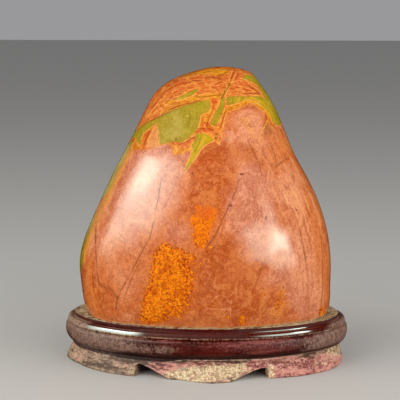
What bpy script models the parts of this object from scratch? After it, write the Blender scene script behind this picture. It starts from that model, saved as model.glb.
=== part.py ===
"""A polished jasper boulder standing in its carved wooden stand.

Metres, +Z up. The origin is on the floor under the middle of the stand, +X is the
viewer's right and -Y is the side that faces the viewer.
"""

import math

import bmesh
import bpy
import numpy as np

MM = 0.001

# Stand: the oval outline of its frieze, and the heights of its mouldings
STAND_HALF_WIDTH = 112.0 * MM
STAND_HALF_DEPTH = 67.5 * MM
LIP_TOP = 38.3 * MM
LIP_ROUNDING = 1.5 * MM
LIP_EDGE = -8.7 * MM
BEAD_CENTRE = (-3.7 * MM, 33.2 * MM)
BEAD_RADIUS = 2.3 * MM
SKIRT_EDGE = 12.5 * MM
SKIRT_THICKNESS = 10.5 * MM
HOLLOW_CEILING = 11.0 * MM
STAND_SEGMENTS = 84
# Spaces the segments evenly round the oval, which uniform angles don't
EVENING = 0.12

# The mouldings are turned at this radius and then pressed to the oval, which keeps their width
TURNING_RADIUS = 100.0 * MM
MOULDING_DEPTH = 30.0 * MM

# How far the skirt's foot stands out from the oval in millimetres, by azimuth in degrees from the
# left end over the front to the right end. The middle drop bellies out. The back mirrors the front.
FOOT_REACH = (
    (180, -0.2),
    (185, -0.4),
    (193, -1.9),
    (205, -3.7),
    (228, -0.2),
    (250, -0.7),
    (261, -0.4),
    (267, 4.0),
    (274, 7.6),
    (279, 5.6),
    (285, 0.4),
    (300, -0.4),
    (312, 1.2),
    (330, 0.8),
    (342, -1.8),
    (352, -3.4),
    (360, -3.7),
)

# Each arch under the skirt, from the foot's end to the middle drop, as (x, height) in millimetres
LEFT_ARCH = (
    (-53.0, -3.0),
    (-52.4, 7.6),
    (-50.6, 9.6),
    (-47.0, 9.2),
    (-43.5, 8.2),
    (-39.5, 6.9),
    (-32.0, 3.8),
    (-24.0, 0.4),
    (-21.0, -3.0),
)
RIGHT_ARCH = (
    (51.6, -3.0),
    (51.2, 7.0),
    (49.6, 8.3),
    (46.0, 8.1),
    (40.0, 6.7),
    (32.5, 4.2),
    (25.0, 1.5),
    (21.0, 0.2),
    (18.0, -3.0),
)
ARCH_TURN = 17.0
ARCH_REACH = 16.0 * MM

# Stone: how it sits, and its sections
SEAT_GAP = 0.35 * MM
STONE_BOTTOM = 31.3 * MM
STONE_SEGMENTS = 52
STONE_RINGS = 36
BASE_RINGS = 4

# Height, then the left, right, front and back edge of the stone at that height, in millimetres
STONE_SECTIONS = (
    (231.6, 12.0, 12.0, 2.0, 2.0),
    (227.5, -11.2, 33.6, -12.0, 15.0),
    (221.0, -27.6, 40.0, -21.5, 22.5),
    (212.0, -39.3, 46.6, -29.5, 29.0),
    (200.0, -46.6, 53.4, -37.0, 35.0),
    (180.0, -56.7, 62.0, -47.0, 43.0),
    (160.0, -66.9, 71.2, -54.5, 49.5),
    (140.0, -76.9, 82.3, -60.0, 54.5),
    (120.0, -86.2, 90.8, -63.6, 58.0),
    (100.0, -95.0, 95.7, -65.2, 60.0),
    (80.0, -99.6, 98.0, -64.8, 60.5),
    (60.0, -98.6, 98.2, -62.6, 59.5),
    (44.0, -96.2, 97.4, -59.0, 57.0),
    (34.0, -92.6, 94.6, -55.0, 53.6),
)
# The stone's underside: how far each ring lies inside the lowest section, and its height. The
# last ring is the point in the middle.
BASE_STEPS = ((1.0 * MM, 32.3 * MM), (3.2 * MM, STONE_BOTTOM), (26.0 * MM, STONE_BOTTOM))
# How square the sections are: 2 is an ellipse, and more is boxier. The stone's left front is
# fuller than its right front.
SQUARENESS_TOP = 2.0
SQUARENESS_BODY = 2.1
SQUARENESS_SKEW = 0.28
SQUARE_FROM = 205.0 * MM
SQUARE_TO = 150.0 * MM

JASPER = (0.60, 0.17, 0.065, 1.0)
WOOD = (0.095, 0.026, 0.019, 1.0)


def clear_scene():
    for old in list(bpy.data.objects):
        bpy.data.objects.remove(old)


def new_collection(name):
    collection = bpy.data.collections.new(name)
    bpy.context.scene.collection.children.link(collection)
    return collection


def new_material(name, colour, roughness):
    material = bpy.data.materials.new(name)
    material.use_nodes = True
    shader = material.node_tree.nodes["Principled BSDF"]
    shader.inputs["Base Color"].default_value = colour
    shader.inputs["Roughness"].default_value = roughness
    shader.inputs["Metallic"].default_value = 0.0
    material.diffuse_color = colour
    return material


def move_to(obj, collection):
    for old in list(obj.users_collection):
        old.objects.unlink(obj)
    collection.objects.link(obj)
    return obj


def smoothstep(low, high, value):
    share = min(1.0, max(0.0, (value - low) / (high - low)))
    return share * share * (3.0 - 2.0 * share)


# Stone


def natural_spline(knots, values):
    """A smooth function through the values at the knots."""
    knots = np.array(knots)
    values = np.array(values)
    step = np.diff(knots)
    slope = np.diff(values) / step
    size = len(knots)
    system = np.eye(size)
    right_side = np.zeros(size)
    for i in range(1, size - 1):
        system[i, i - 1 : i + 2] = step[i - 1], 2.0 * (step[i - 1] + step[i]), step[i]
        right_side[i] = 6.0 * (slope[i] - slope[i - 1])
    bend = np.linalg.solve(system, right_side)

    def at(position):
        i = int(np.clip(np.searchsorted(knots, position) - 1, 0, size - 2))
        to_next = knots[i + 1] - position
        past = position - knots[i]
        cubic = (bend[i] * to_next**3 + bend[i + 1] * past**3) / (6.0 * step[i])
        start = (values[i] / step[i] - bend[i] * step[i] / 6.0) * to_next
        end = (values[i + 1] / step[i] - bend[i + 1] * step[i] / 6.0) * past
        return cubic + start + end

    return at


def stone_outlines():
    """The stone's left-to-right and front-to-back outlines.

    Each is a function of the square root of the depth under the stone's top: negative arguments
    give the left and front edges, and positive ones the right and back edges.
    """
    heights, left, right, front, back = (np.array(column) * MM for column in zip(*STONE_SECTIONS))
    depths = np.sqrt(heights[0] - heights)
    knots = np.concatenate([-depths[:0:-1], depths])
    across = natural_spline(knots, np.concatenate([left[:0:-1], right]))
    along = natural_spline(knots, np.concatenate([front[:0:-1], back]))
    return across, along, depths[-1]


def rounded(cosine, squareness):
    return math.copysign(abs(cosine) ** (2.0 / squareness), cosine)


def section_point(outlines, depth, azimuth, inset=0.0):
    """The stone's surface at this depth and azimuth, or a little inside it."""
    across, along, _ = outlines
    height = STONE_SECTIONS[0][0] * MM - depth * depth
    body_share = smoothstep(SQUARE_FROM, SQUARE_TO, height)
    body_squareness = SQUARENESS_BODY + SQUARENESS_SKEW * math.sin(2.0 * azimuth)
    squareness = SQUARENESS_TOP + (body_squareness - SQUARENESS_TOP) * body_share
    half_x = (across(depth) - across(-depth)) / 2.0 - inset
    half_y = (along(depth) - along(-depth)) / 2.0 - inset
    x = (across(depth) + across(-depth)) / 2.0 + half_x * rounded(math.cos(azimuth), squareness)
    y = (along(depth) + along(-depth)) / 2.0 + half_y * rounded(math.sin(azimuth), squareness)
    return x, y, height


def shape_stone(mesh):
    """Moves the vertices of a unit sphere to the stone's surface, ring by ring."""
    outlines = stone_outlines()
    deepest = outlines[2]
    side_rings = STONE_RINGS - BASE_RINGS
    for vertex in mesh.vertices:
        ring = round(math.acos(max(-1.0, min(1.0, vertex.co.z))) / math.pi * STONE_RINGS)
        azimuth = math.atan2(vertex.co.y, vertex.co.x)
        if ring <= side_rings:
            vertex.co = section_point(outlines, deepest * ring / side_rings, azimuth)
        elif ring < STONE_RINGS:
            inset, height = BASE_STEPS[ring - side_rings - 1]
            x, y, _ = section_point(outlines, deepest, azimuth, inset)
            vertex.co = (x, y, height)
        else:
            vertex.co = (0.0, 0.0, STONE_BOTTOM)


def make_stone(name, collection, material):
    bpy.ops.mesh.primitive_uv_sphere_add(segments=STONE_SEGMENTS, ring_count=STONE_RINGS, radius=1.0)
    stone = move_to(bpy.context.object, collection)
    stone.name = name
    shape_stone(stone.data)
    stone.data.materials.append(material)
    stone.data.shade_smooth()
    return stone


def make_seat_cutter(stone, collection):
    """A copy of the stone, grown by the gap that it keeps from its seat."""
    cutter = bpy.data.objects.new("seat_cutter", stone.data.copy())
    collection.objects.link(cutter)
    normals = [vertex.normal.copy() for vertex in cutter.data.vertices]
    for vertex, normal in zip(cutter.data.vertices, normals):
        vertex.co += normal * SEAT_GAP
    return cutter


# Stand


def arc(centre, radius, start_degrees, end_degrees, steps):
    """Points on an arc in the profile's plane, from the first angle to the last."""
    angles = np.radians(np.linspace(start_degrees, end_degrees, steps + 1))
    return [(centre[0] + radius * math.cos(a), centre[1] + radius * math.sin(a)) for a in angles]


def moulding_profile():
    """The stand's section as (distance outside the frieze, height), from the lip down to the hollow."""
    lip = arc((LIP_EDGE, LIP_TOP - LIP_ROUNDING), LIP_ROUNDING, 90, 0, 2)
    quirk = [(-6.5 * MM, 34.7 * MM), (-6.0 * MM, 34.0 * MM)]
    bead = arc(BEAD_CENTRE, BEAD_RADIUS, 150, -65, 7)
    groove = [(-2.6 * MM, 30.6 * MM), (-1.5 * MM, 30.1 * MM)]
    frieze = [(-0.5 * MM, 29.0 * MM), (0.0, 26.6 * MM), (0.0, 23.8 * MM), (-0.6 * MM, 21.0 * MM)]
    under = [(-2.2 * MM, 18.0 * MM), (-4.4 * MM, 15.9 * MM), (-6.4 * MM, 14.7 * MM)]
    waist = [(-6.8 * MM, 13.9 * MM), (-6.0 * MM, 13.0 * MM)]
    skirt = [(-4.8 * MM, 11.0 * MM), (-3.1 * MM, 8.0 * MM), (-1.6 * MM, 5.2 * MM), (-0.4 * MM, 2.8 * MM)]
    foot = [(0.0, 1.4 * MM), (-0.4 * MM, 0.3 * MM), (-1.0 * MM, 0.0)]
    hollow = [(-SKIRT_THICKNESS, 0.0), (-SKIRT_THICKNESS - 2.0 * MM, HOLLOW_CEILING)]
    return lip + quirk + bead + groove + frieze + under + waist + skirt + foot + hollow


def oval_point(azimuth):
    return np.array((STAND_HALF_WIDTH * math.cos(azimuth), STAND_HALF_DEPTH * math.sin(azimuth)))


def oval_normal(azimuth):
    normal = np.array((math.cos(azimuth) / STAND_HALF_WIDTH, math.sin(azimuth) / STAND_HALF_DEPTH))
    return normal / np.linalg.norm(normal)


def skirt_reach(azimuth, height):
    """How far the skirt stands out over its turned profile at this height."""
    if height >= SKIRT_EDGE:
        return 0.0
    from_left_end = 180.0 + abs(abs(math.degrees(azimuth)) - 180.0)
    reach = np.interp(from_left_end, *zip(*FOOT_REACH)) * MM
    return reach * (1.0 - height / SKIRT_EDGE) ** 0.8


def press_to_oval(mesh):
    """Moves each vertex of the turned stand to the oval, with its distance from the frieze kept."""
    for vertex in mesh.vertices:
        radius = math.hypot(vertex.co.x, vertex.co.y)
        azimuth = math.atan2(vertex.co.y, vertex.co.x)
        azimuth += EVENING * math.sin(2.0 * azimuth)
        offset = max(radius - TURNING_RADIUS, -MOULDING_DEPTH)
        if offset > -SKIRT_THICKNESS + MM:
            offset += skirt_reach(azimuth, vertex.co.z)
        place = oval_point(azimuth) + oval_normal(azimuth) * offset
        inner_share = min(1.0, radius / (TURNING_RADIUS - MOULDING_DEPTH))
        vertex.co.x, vertex.co.y = place * inner_share


def turned_mesh(name, profile):
    """A closed turned solid from a profile that starts and ends on the axis."""
    mesh = bpy.data.meshes.new(name)
    edges = [(i, i + 1) for i in range(len(profile) - 1)]
    mesh.from_pydata([(radius, 0.0, height) for radius, height in profile], edges, [])
    blank = bpy.data.objects.new(name, mesh)
    bpy.context.scene.collection.objects.link(blank)
    screw = blank.modifiers.new("turn", "SCREW")
    screw.steps = screw.render_steps = STAND_SEGMENTS
    screw.use_merge_vertices = True
    screw.merge_threshold = 0.00001
    graph = bpy.context.evaluated_depsgraph_get()
    turned = bpy.data.meshes.new_from_object(blank.evaluated_get(graph))
    bpy.data.objects.remove(blank)
    turned.name = name
    return turned


def make_arch_cutter(name, outline, side, turn_degrees, collection):
    """A prism through the skirt on the front (side -1) or the back (side 1), turned about its middle."""
    curve = bpy.data.curves.new(name, "CURVE")
    curve.dimensions = "2D"
    curve.fill_mode = "BOTH"
    curve.extrude = ARCH_REACH
    spline = curve.splines.new("POLY")
    spline.points.add(len(outline) - 1)
    middle = (outline[0][0] + outline[-1][0]) / 2.0
    for point, (x, z) in zip(spline.points, outline):
        point.co = (x - middle, z, 0.0, 1.0)
    spline.use_cyclic_u = True
    blank = bpy.data.objects.new(name, curve)
    bpy.context.scene.collection.objects.link(blank)
    bpy.context.view_layer.update()
    mesh = bpy.data.meshes.new_from_object(blank.evaluated_get(bpy.context.evaluated_depsgraph_get()))
    bpy.data.objects.remove(blank)
    cage = bmesh.new()
    cage.from_mesh(mesh)
    bmesh.ops.remove_doubles(cage, verts=cage.verts, dist=0.00001)
    bmesh.ops.recalc_face_normals(cage, faces=cage.faces)
    cage.to_mesh(mesh)
    cage.free()
    cutter = bpy.data.objects.new(name, mesh)
    collection.objects.link(cutter)
    reach = STAND_HALF_DEPTH * math.sqrt(1.0 - (middle / STAND_HALF_WIDTH) ** 2)
    cutter.location = (middle, side * reach, 0.0)
    cutter.rotation_euler = (math.radians(90), 0.0, math.radians(turn_degrees * -side))
    return cutter


def cut_with(obj, cutter):
    cutter.hide_render = True
    cutter.display_type = "WIRE"
    boolean = obj.modifiers.new(cutter.name, "BOOLEAN")
    boolean.operation = "DIFFERENCE"
    boolean.solver = "EXACT"
    boolean.object = cutter


def make_stand(name, stone, collection, cutters, material):
    profile = [(TURNING_RADIUS + offset, height) for offset, height in moulding_profile()]
    profile = [(0.0, LIP_TOP)] + profile + [(0.0, HOLLOW_CEILING)]
    mesh = turned_mesh(name, profile)
    press_to_oval(mesh)
    mesh.materials.append(material)
    mesh.shade_smooth()
    stand = bpy.data.objects.new(name, mesh)
    collection.objects.link(stand)
    cut_with(stand, make_seat_cutter(stone, cutters))
    for side, side_name in ((-1, "front"), (1, "back")):
        for outline, turn, hand in ((LEFT_ARCH, -ARCH_TURN, "left"), (RIGHT_ARCH, ARCH_TURN, "right")):
            points = [(x * MM, z * MM) for x, z in outline]
            cutter = make_arch_cutter(f"arch_{side_name}_{hand}", points, side, turn, cutters)
            cut_with(stand, cutter)
    return stand


def main():
    clear_scene()
    parts = new_collection("polished_jasper")
    cutters = new_collection("cutters")
    jasper = new_material("polished_jasper", JASPER, 0.15)
    wood = new_material("lacquered_wood", WOOD, 0.35)
    stone = make_stone("jasper_stone", parts, jasper)
    make_stand("wood_stand", stone, parts, cutters, wood)


main()
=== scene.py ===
"""A polished jasper boulder standing in its carved and lacquered wooden stand.

Metres, +Z up, -Y towards the viewer, +X the viewer's right, as in the part.
"""

import math

import bmesh
import bpy
import numpy as np
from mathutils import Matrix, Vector


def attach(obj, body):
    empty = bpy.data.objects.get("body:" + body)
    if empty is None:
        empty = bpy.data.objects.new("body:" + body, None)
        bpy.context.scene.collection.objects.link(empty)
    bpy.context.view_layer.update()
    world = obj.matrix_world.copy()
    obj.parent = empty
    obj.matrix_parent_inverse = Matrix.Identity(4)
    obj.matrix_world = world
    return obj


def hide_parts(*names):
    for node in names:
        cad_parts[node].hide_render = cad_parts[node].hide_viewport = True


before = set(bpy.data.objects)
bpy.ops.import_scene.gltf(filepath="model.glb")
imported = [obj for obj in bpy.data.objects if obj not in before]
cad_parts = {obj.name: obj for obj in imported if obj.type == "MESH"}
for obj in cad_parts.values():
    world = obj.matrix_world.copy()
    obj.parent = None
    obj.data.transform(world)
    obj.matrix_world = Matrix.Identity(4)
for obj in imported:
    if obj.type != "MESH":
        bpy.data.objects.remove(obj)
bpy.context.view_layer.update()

MM = 0.001

# Camera, read from the photo: pixels of a 400-pixel picture and metres
FOCAL = 1352.0
PICTURE = 400.0
CAMERA_PLACE = np.array((0.05016, -1.04881, 0.296))
CAMERA_PITCH = math.radians(9.14)
CAMERA_YAW = math.radians(3.0)
CAMERA_CLIP = (0.01, 50.0)
SENSOR_MM = 36.0

# Stone: height, then its left, right, front and back edge there, in millimetres, as in the part
STONE_SECTIONS = (
    (231.6, 12.0, 12.0, 2.0, 2.0),
    (227.5, -11.2, 33.6, -12.0, 15.0),
    (221.0, -27.6, 40.0, -21.5, 22.5),
    (212.0, -39.3, 46.6, -29.5, 29.0),
    (200.0, -46.6, 53.4, -37.0, 35.0),
    (180.0, -56.7, 62.0, -47.0, 43.0),
    (160.0, -66.9, 71.2, -54.5, 49.5),
    (140.0, -76.9, 82.3, -60.0, 54.5),
    (120.0, -86.2, 90.8, -63.6, 58.0),
    (100.0, -95.0, 95.7, -65.2, 60.0),
    (80.0, -99.6, 98.0, -64.8, 60.5),
    (60.0, -98.6, 98.2, -62.6, 59.5),
    (44.0, -96.2, 97.4, -59.0, 57.0),
    (34.0, -92.6, 94.6, -55.0, 53.6),
)
# The steps of its hidden base: how far inside the last section, and height, in millimetres
BASE_STEPS = ((0.4, 33.2), (1.0, 32.4), (2.0, 31.7), (3.2, 31.3), (26.0, 31.3))
STONE_BOTTOM = 31.3 * MM
SQUARENESS_TOP = 2.0
SQUARENESS_BODY = 2.1
SQUARENESS_SKEW = 0.28
SQUARE_FROM = 205.0 * MM
SQUARE_TO = 150.0 * MM
STONE_SEGMENTS = 384
STONE_RINGS = 250
# Share by which the segments crowd towards the front, and the rings above a height
FRONT_CROWDING = 0.24
TOP_CROWDING = 0.5
CROWDED_FROM = 135.0 * MM
CROWDED_TO = 160.0 * MM
# How its length from top to foot is measured: in steps, on sides given in degrees
DEPTH_STEPS = 1500
MEASURED_SIDES = (0.0, 90.0, 180.0, 270.0, 225.0, 315.0)
GRINDING_WAVES = 0.22 * MM

# Stand: the oval of its frieze and the heights of its mouldings, as in the part
STAND_HALF_WIDTH = 112.0 * MM
STAND_HALF_DEPTH = 67.5 * MM
TURNING_RADIUS = 100.0 * MM
MOULDING_DEPTH = 30.0 * MM
STAND_TOP = 38.3
HOLLOW_TOP = 11.0
SKIRT_EDGE = 12.5
SKIRT_THICKNESS = 10.5
STAND_SEGMENTS = 288
SHARP_EDGE = math.radians(38.0)
SAME_PLACE = 0.001 * MM
# Share by which the segments move off the oval's ends, to even them out
EVENING = 0.12
SEAT_GAP = 0.35 * MM
SEAT_SEGMENTS = 120
SEAT_RINGS = 90
# The bead leans outwards, but not on the left end: it starts between two cosines of the azimuth
BEAD_MIDDLE = 33.2 * MM
BEAD_HALF = 2.0 * MM
BEAD_LEAN = 0.25
BEAD_LEAN_LIMIT = 1.7 * MM
BEAD_LEAN_ENDS = (-0.5, -0.35)
# How far the feet stand out, by degrees round from the right end, and the arches' outlines, in mm
FOOT_REACH = (
    (180, -0.2), (185, -0.4), (193, -1.9), (205, -3.7), (228, -0.2), (250, -0.7), (261, -0.4),
    (267, 4.0), (274, 7.6), (279, 5.6), (285, 0.4), (300, -0.4), (312, 1.2), (330, 0.8), (342, -1.8),
    (352, -3.4), (360, -3.7),
)
FOOT_FLARE = 0.8
LEFT_ARCH = (
    (-53.0, -3.0), (-52.4, 7.6), (-50.6, 9.6), (-47.0, 9.2), (-43.5, 8.2), (-39.5, 6.9), (-32.0, 3.8),
    (-24.0, 0.4), (-21.0, -3.0),
)
RIGHT_ARCH = (
    (51.6, -3.0), (51.2, 7.0), (49.6, 8.3), (46.0, 8.1), (40.0, 6.7), (32.5, 4.2), (25.0, 1.5),
    (21.0, 0.2), (18.0, -3.0),
)
ARCH_TURN = 17.0
ARCH_REACH = 16.0 * MM

# The stone's drawings: the plane of its outline lies a little before its middle, and behind it the
# front's drawing gives way to the back's while both wander
OUTLINE_PLANE = 2.0 * MM
SIDE_BLEND = 14.0 * MM
WANDER_START = -17.0 * MM
WANDER_FULL = 9.0 * MM
WANDER_ACROSS = 1.7
WANDER_DOWN = 3.0
# Pixels beyond which nothing is told apart, and over which the share of a line fades
FAR_PIXELS = 60.0
LINE_FADE = (1.2, 2.8)
# How suddenly a soft patch ends, and how steep a pit is
PATCH_POWER = 1.3
PIT_SOFTNESS = 0.7

# The stone's markings, drawn on it from the front: outlines in pixels of the photo
GREEN_FRONT = {
    "leaf": (
        (126, 132), (136, 129.5), (141, 126.5), (146, 123.5), (150, 121.2), (155, 119), (160, 116.5),
        (165, 114), (170, 111.5), (175, 109.5), (180, 107.5), (185, 105.5), (190, 104), (195, 102.6),
        (200, 101.4), (205, 100.6), (210, 100.2), (210.8, 104.5), (210, 110), (206, 112.5), (202, 113.5),
        (200, 116.5), (199.6, 121), (198.6, 125.5), (196.6, 129.5), (194, 132.6), (191, 135.8),
        (187, 138.8), (183, 141.4), (178, 142.4), (174, 141.2), (168, 142.6), (163, 144), (159.4, 144),
        (158.6, 139), (158.8, 133), (158, 127.5), (157.2, 124.4), (154.6, 124), (151.5, 127.2),
        (148.6, 129.4), (145.6, 131), (142.8, 134), (141.3, 138.5), (140.4, 143.5), (138.6, 145.6),
        (137, 142), (135.6, 138.5), (133.5, 136.8), (126, 139),
    ),
    "tail": (
        (195, 134.4), (199, 133), (204, 133.8), (208, 135.2), (211, 137.6), (213.4, 140.3), (209.6, 142),
        (206.4, 143.8), (203.4, 146.4), (200.2, 149.6), (197.2, 154), (194.6, 158.4), (192, 162.4),
        (188.8, 166.4), (185.4, 170.2), (183, 172.4), (185.2, 168), (187.6, 163.2), (189.8, 158.2),
        (191.4, 153), (191.9, 149), (191.2, 146), (193, 143), (195, 140), (196, 137),
    ),
    "sliver": (
        (221.8, 97), (225.2, 98), (224.6, 104), (223, 110), (221, 115), (219, 119.4), (217, 123),
        (215, 126.4), (212, 125), (210.2, 123.6), (212, 119.6), (214.2, 115), (217, 110), (219.6, 105),
        (221, 100),
    ),
    "right_strip": (
        (226.8, 97), (235, 96.2), (243, 96.6), (250, 96.6), (257, 96), (262, 97.4), (267, 99.4),
        (272, 99), (290, 118), (288, 127), (281, 123.6), (275.4, 125.6), (272.4, 121), (271, 116),
        (268.6, 112), (265, 108.4), (261.4, 105.2), (258, 102.6), (254.6, 100.2), (250.6, 99.4),
        (246, 99.6), (241.4, 101.4), (237, 103), (232, 104.6), (228, 106.2), (227, 102),
    ),
    "crown_edge": (
        (243, 76.4), (246.4, 75.2), (252, 73), (262, 78), (275, 98), (270, 100.6), (265.4, 98.6),
        (262.6, 94), (260.4, 89.4), (256.6, 84.2), (252.4, 81.6), (247.6, 80), (243.6, 79.4),
    ),
    "streak": (
        (176, 99.6), (180, 96.8), (185, 94.2), (190, 91.4), (195, 89.4), (199.4, 88.4), (197, 91.4),
        (192.4, 94.8), (188, 96.8), (184, 98.8), (179, 100.2),
    ),
    "left_strip": (
        (132, 141), (133.6, 141.4), (131.2, 145.6), (128.6, 150.4), (126, 155.2), (123.4, 160.2),
        (121, 165), (118.6, 170), (116.2, 175), (113.8, 180), (111.6, 185), (109.2, 190), (105.4, 195),
        (101.6, 200), (98.8, 205), (96.6, 210), (94.8, 215), (93.8, 220), (92.4, 225), (90.4, 230),
        (88.6, 235), (86.4, 240), (84.4, 246), (83.8, 252), (83.2, 259), (82, 266), (80, 272), (70, 272),
        (70, 240), (90, 200), (110, 160), (120, 140),
    ),
}
GOLD_FRONT = {
    "band": (
        (160, 116.6), (163, 110.4), (166.6, 104.4), (170.4, 100.6), (176, 99.4), (184, 97.4), (193, 95),
        (200, 93.8), (208, 93.6), (216, 92.8), (223, 91.8), (224.6, 95), (221, 98), (220, 102),
        (217.6, 107.4), (214.4, 112.4), (211.6, 118), (209.6, 123), (213, 127), (216.8, 127),
        (213.6, 131.6), (207, 130.6), (200, 131), (196, 134.6), (191, 139.4), (186.4, 142.4),
        (182, 143.8), (183.4, 141), (191, 135.8), (196.6, 129.5), (199.6, 121), (202, 113.5), (210, 110),
        (210.2, 100.2), (190, 104), (175, 109.5),
    ),
    "finger": (
        (157.4, 123.4), (159.4, 130), (159.6, 138), (160.2, 144.2), (158, 146.2), (152, 146.8),
        (146, 148.4), (141, 150.4), (137.4, 148), (139.6, 145.8), (141, 143), (142.8, 136), (146, 132),
        (150, 128.6), (154, 124.4),
    ),
    "spur": (
        (172.6, 142), (176, 144.4), (179.4, 148.6), (178.4, 153.6), (175.4, 155.4), (172.4, 153.4),
        (174, 149), (171.6, 145.6), (167, 144.4), (163, 145.6), (159, 146), (160, 143.6), (167, 142.6),
    ),
    "wisp": ((179.4, 152.6), (184, 149.2), (189.6, 146.6), (191.8, 149.6), (187, 151.8), (181, 154.6)),
    "tail_point": (
        (205, 134.4), (210, 136), (214.4, 140.2), (210, 143), (204, 147.2), (200.6, 149.8), (203, 145),
        (208, 141.6), (211, 139.6),
    ),
    "right_border": (
        (225.6, 104), (227.6, 106.4), (232, 104.8), (237, 103.2), (241, 101.6), (246, 99.8), (251, 99.6),
        (255, 100.4), (259, 103.2), (263, 106.6), (267, 110.4), (269.6, 114.4), (271, 119),
        (268.6, 122.4), (266, 127.6), (263.6, 132), (261, 136.4), (259.6, 142.6), (257.8, 142),
        (258.6, 137), (262, 131), (265, 124.4), (267.4, 119), (266, 113.6), (261.6, 110), (257, 107.2),
        (253, 104.2), (249.6, 102.4), (246, 104.4), (241.6, 107.2), (236, 109), (231, 110.6),
        (227.4, 113.4), (225, 117.6), (224, 112),
    ),
    "crown": (
        (186, 77.6), (193, 75), (200, 73.4), (208, 72.8), (214, 74), (219, 75.6), (225, 76),
        (228.4, 73.6), (230, 66), (205, 64), (186, 70),
    ),
    "left_border": (
        (131, 145.6), (133.6, 141.4), (136.4, 144), (138.8, 147.6), (136, 150), (132.8, 153),
        (130, 156.6), (127.4, 161), (125.6, 165.4), (123.6, 170), (121.4, 175), (119.6, 180),
        (117.4, 185), (113.4, 190), (112, 195), (110.6, 200), (106.6, 205.4), (104.4, 210), (102.2, 215),
        (99.4, 220), (96, 225), (93.4, 230.4), (91.2, 235), (89.4, 240), (87.6, 246), (86, 252),
        (84.6, 259), (83.4, 266), (82.6, 270), (82, 266), (83.2, 259), (84.4, 252), (85.6, 246),
        (87, 240), (88.6, 235), (90.4, 230), (92.4, 225), (94.4, 220), (96.4, 215), (98.4, 210),
        (100.6, 205), (102.8, 200), (105.4, 195), (109.2, 190), (111.6, 185), (113.8, 180), (116.2, 175),
        (118.6, 170), (121, 165), (123.4, 160.2), (126, 155.2), (128.6, 150.4),
    ),
}
BROKEN_FRONT = {
    "crown": (
        (110, 142), (131, 140), (135, 146.4), (139.4, 150.6), (150, 149), (158, 146.4), (165, 144.6),
        (171.6, 145.2), (173, 152), (176, 156), (181, 154.4), (189.6, 151), (192, 148), (195, 144),
        (213.6, 141.8), (219, 144.8), (221.4, 139), (223.2, 130), (225.2, 118), (227.4, 112.4),
        (233, 110), (242, 107.4), (250, 102.8), (256, 106.4), (262, 110.4), (266, 114), (267, 120),
        (270.4, 120), (273, 126), (278, 125), (283, 123.6), (300, 126), (300, 50), (110, 50),
    ),
}
# The line that the crown's layers run along, and the lines that the body's streaks run along
LAYER_LINE = (
    (124, 150), (134, 132), (143, 117), (153, 104), (164, 95), (178, 89), (193, 86), (210, 85),
    (228, 85), (244, 87), (256, 91), (266, 99), (274, 110), (284, 128),
)
FLOW_LINES = (
    ((262, 110), (276, 138), (288, 160), (302, 187), (313, 212), (321, 238), (325, 264), (325, 290),
     (320, 318)),
    ((150, 140), (134, 172), (118, 204), (104, 232), (97, 258), (96, 286), (102, 318)),
)
# The same on the back, drawn as if seen through the stone
BELT_TOP_BACK = (
    (136, 129), (147, 117), (160, 113), (172, 117), (186, 106), (203, 97), (222, 98), (240, 93), (257, 99),
)
LEFT_EDGE_BACK = (
    (133, 150), (125, 158), (121.4, 167), (119.4, 176), (117.6, 184), (109.6, 190), (104, 197), (99.8, 204),
    (97.6, 211), (97.4, 218), (94.4, 228), (89.6, 236), (86, 244), (86.4, 252), (85.4, 259), (82.6, 266),
)
GREEN_BACK = {
    "belt": (
        (120, 134), *BELT_TOP_BACK, (276, 102), (292, 121), (288, 128), (274, 131), (268, 123), (256, 127),
        (248, 143), (241, 152), (236, 139), (224, 131), (212, 138), (199, 156), (190, 168), (188, 150),
        (176, 141), (163, 146), (152, 139), (143, 147), (134, 137), (120, 139),
    ),
    "left_strip": (
        (124, 140), (134, 141), *LEFT_EDGE_BACK, (78, 274), (70, 272), (70, 240), (90, 200), (110, 160),
    ),
    "crown_edge": ((233, 79), (246, 70), (268, 78), (278, 99), (266, 96), (257, 90), (249, 88), (240, 84)),
    "splinter": ((168, 92), (180, 84), (196, 81), (190, 88), (178, 95)),
}
GOLD_BACK = {
    "belt_top": (
        (136, 129), (143, 112), (158, 104), (175, 106), (190, 94), (206, 89), (224, 91), (243, 86),
        (258, 92), (274, 99), *BELT_TOP_BACK[:0:-1],
    ),
    "left_border": (
        (134, 141), (139, 147), (135, 155), (127, 161), (126, 171), (121, 178), (121.6, 187), (113, 192),
        (108.4, 200), (109, 209), (105, 217), (98, 223), (96.6, 232), (92, 240), (93, 249), (87, 254),
        (86, 263), (82, 272), (78, 274), *LEFT_EDGE_BACK[::-1],
    ),
}
BROKEN_BACK = {
    "crown": (
        (110, 143), (134, 141), (143, 150), (153, 143), (163, 149), (176, 145), (186, 153), (190, 171),
        (201, 158), (214, 141), (224, 134), (234, 142), (241, 155), (250, 146), (258, 130), (268, 127),
        (276, 135), (300, 131), (300, 50), (110, 50),
    ),
}

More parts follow.
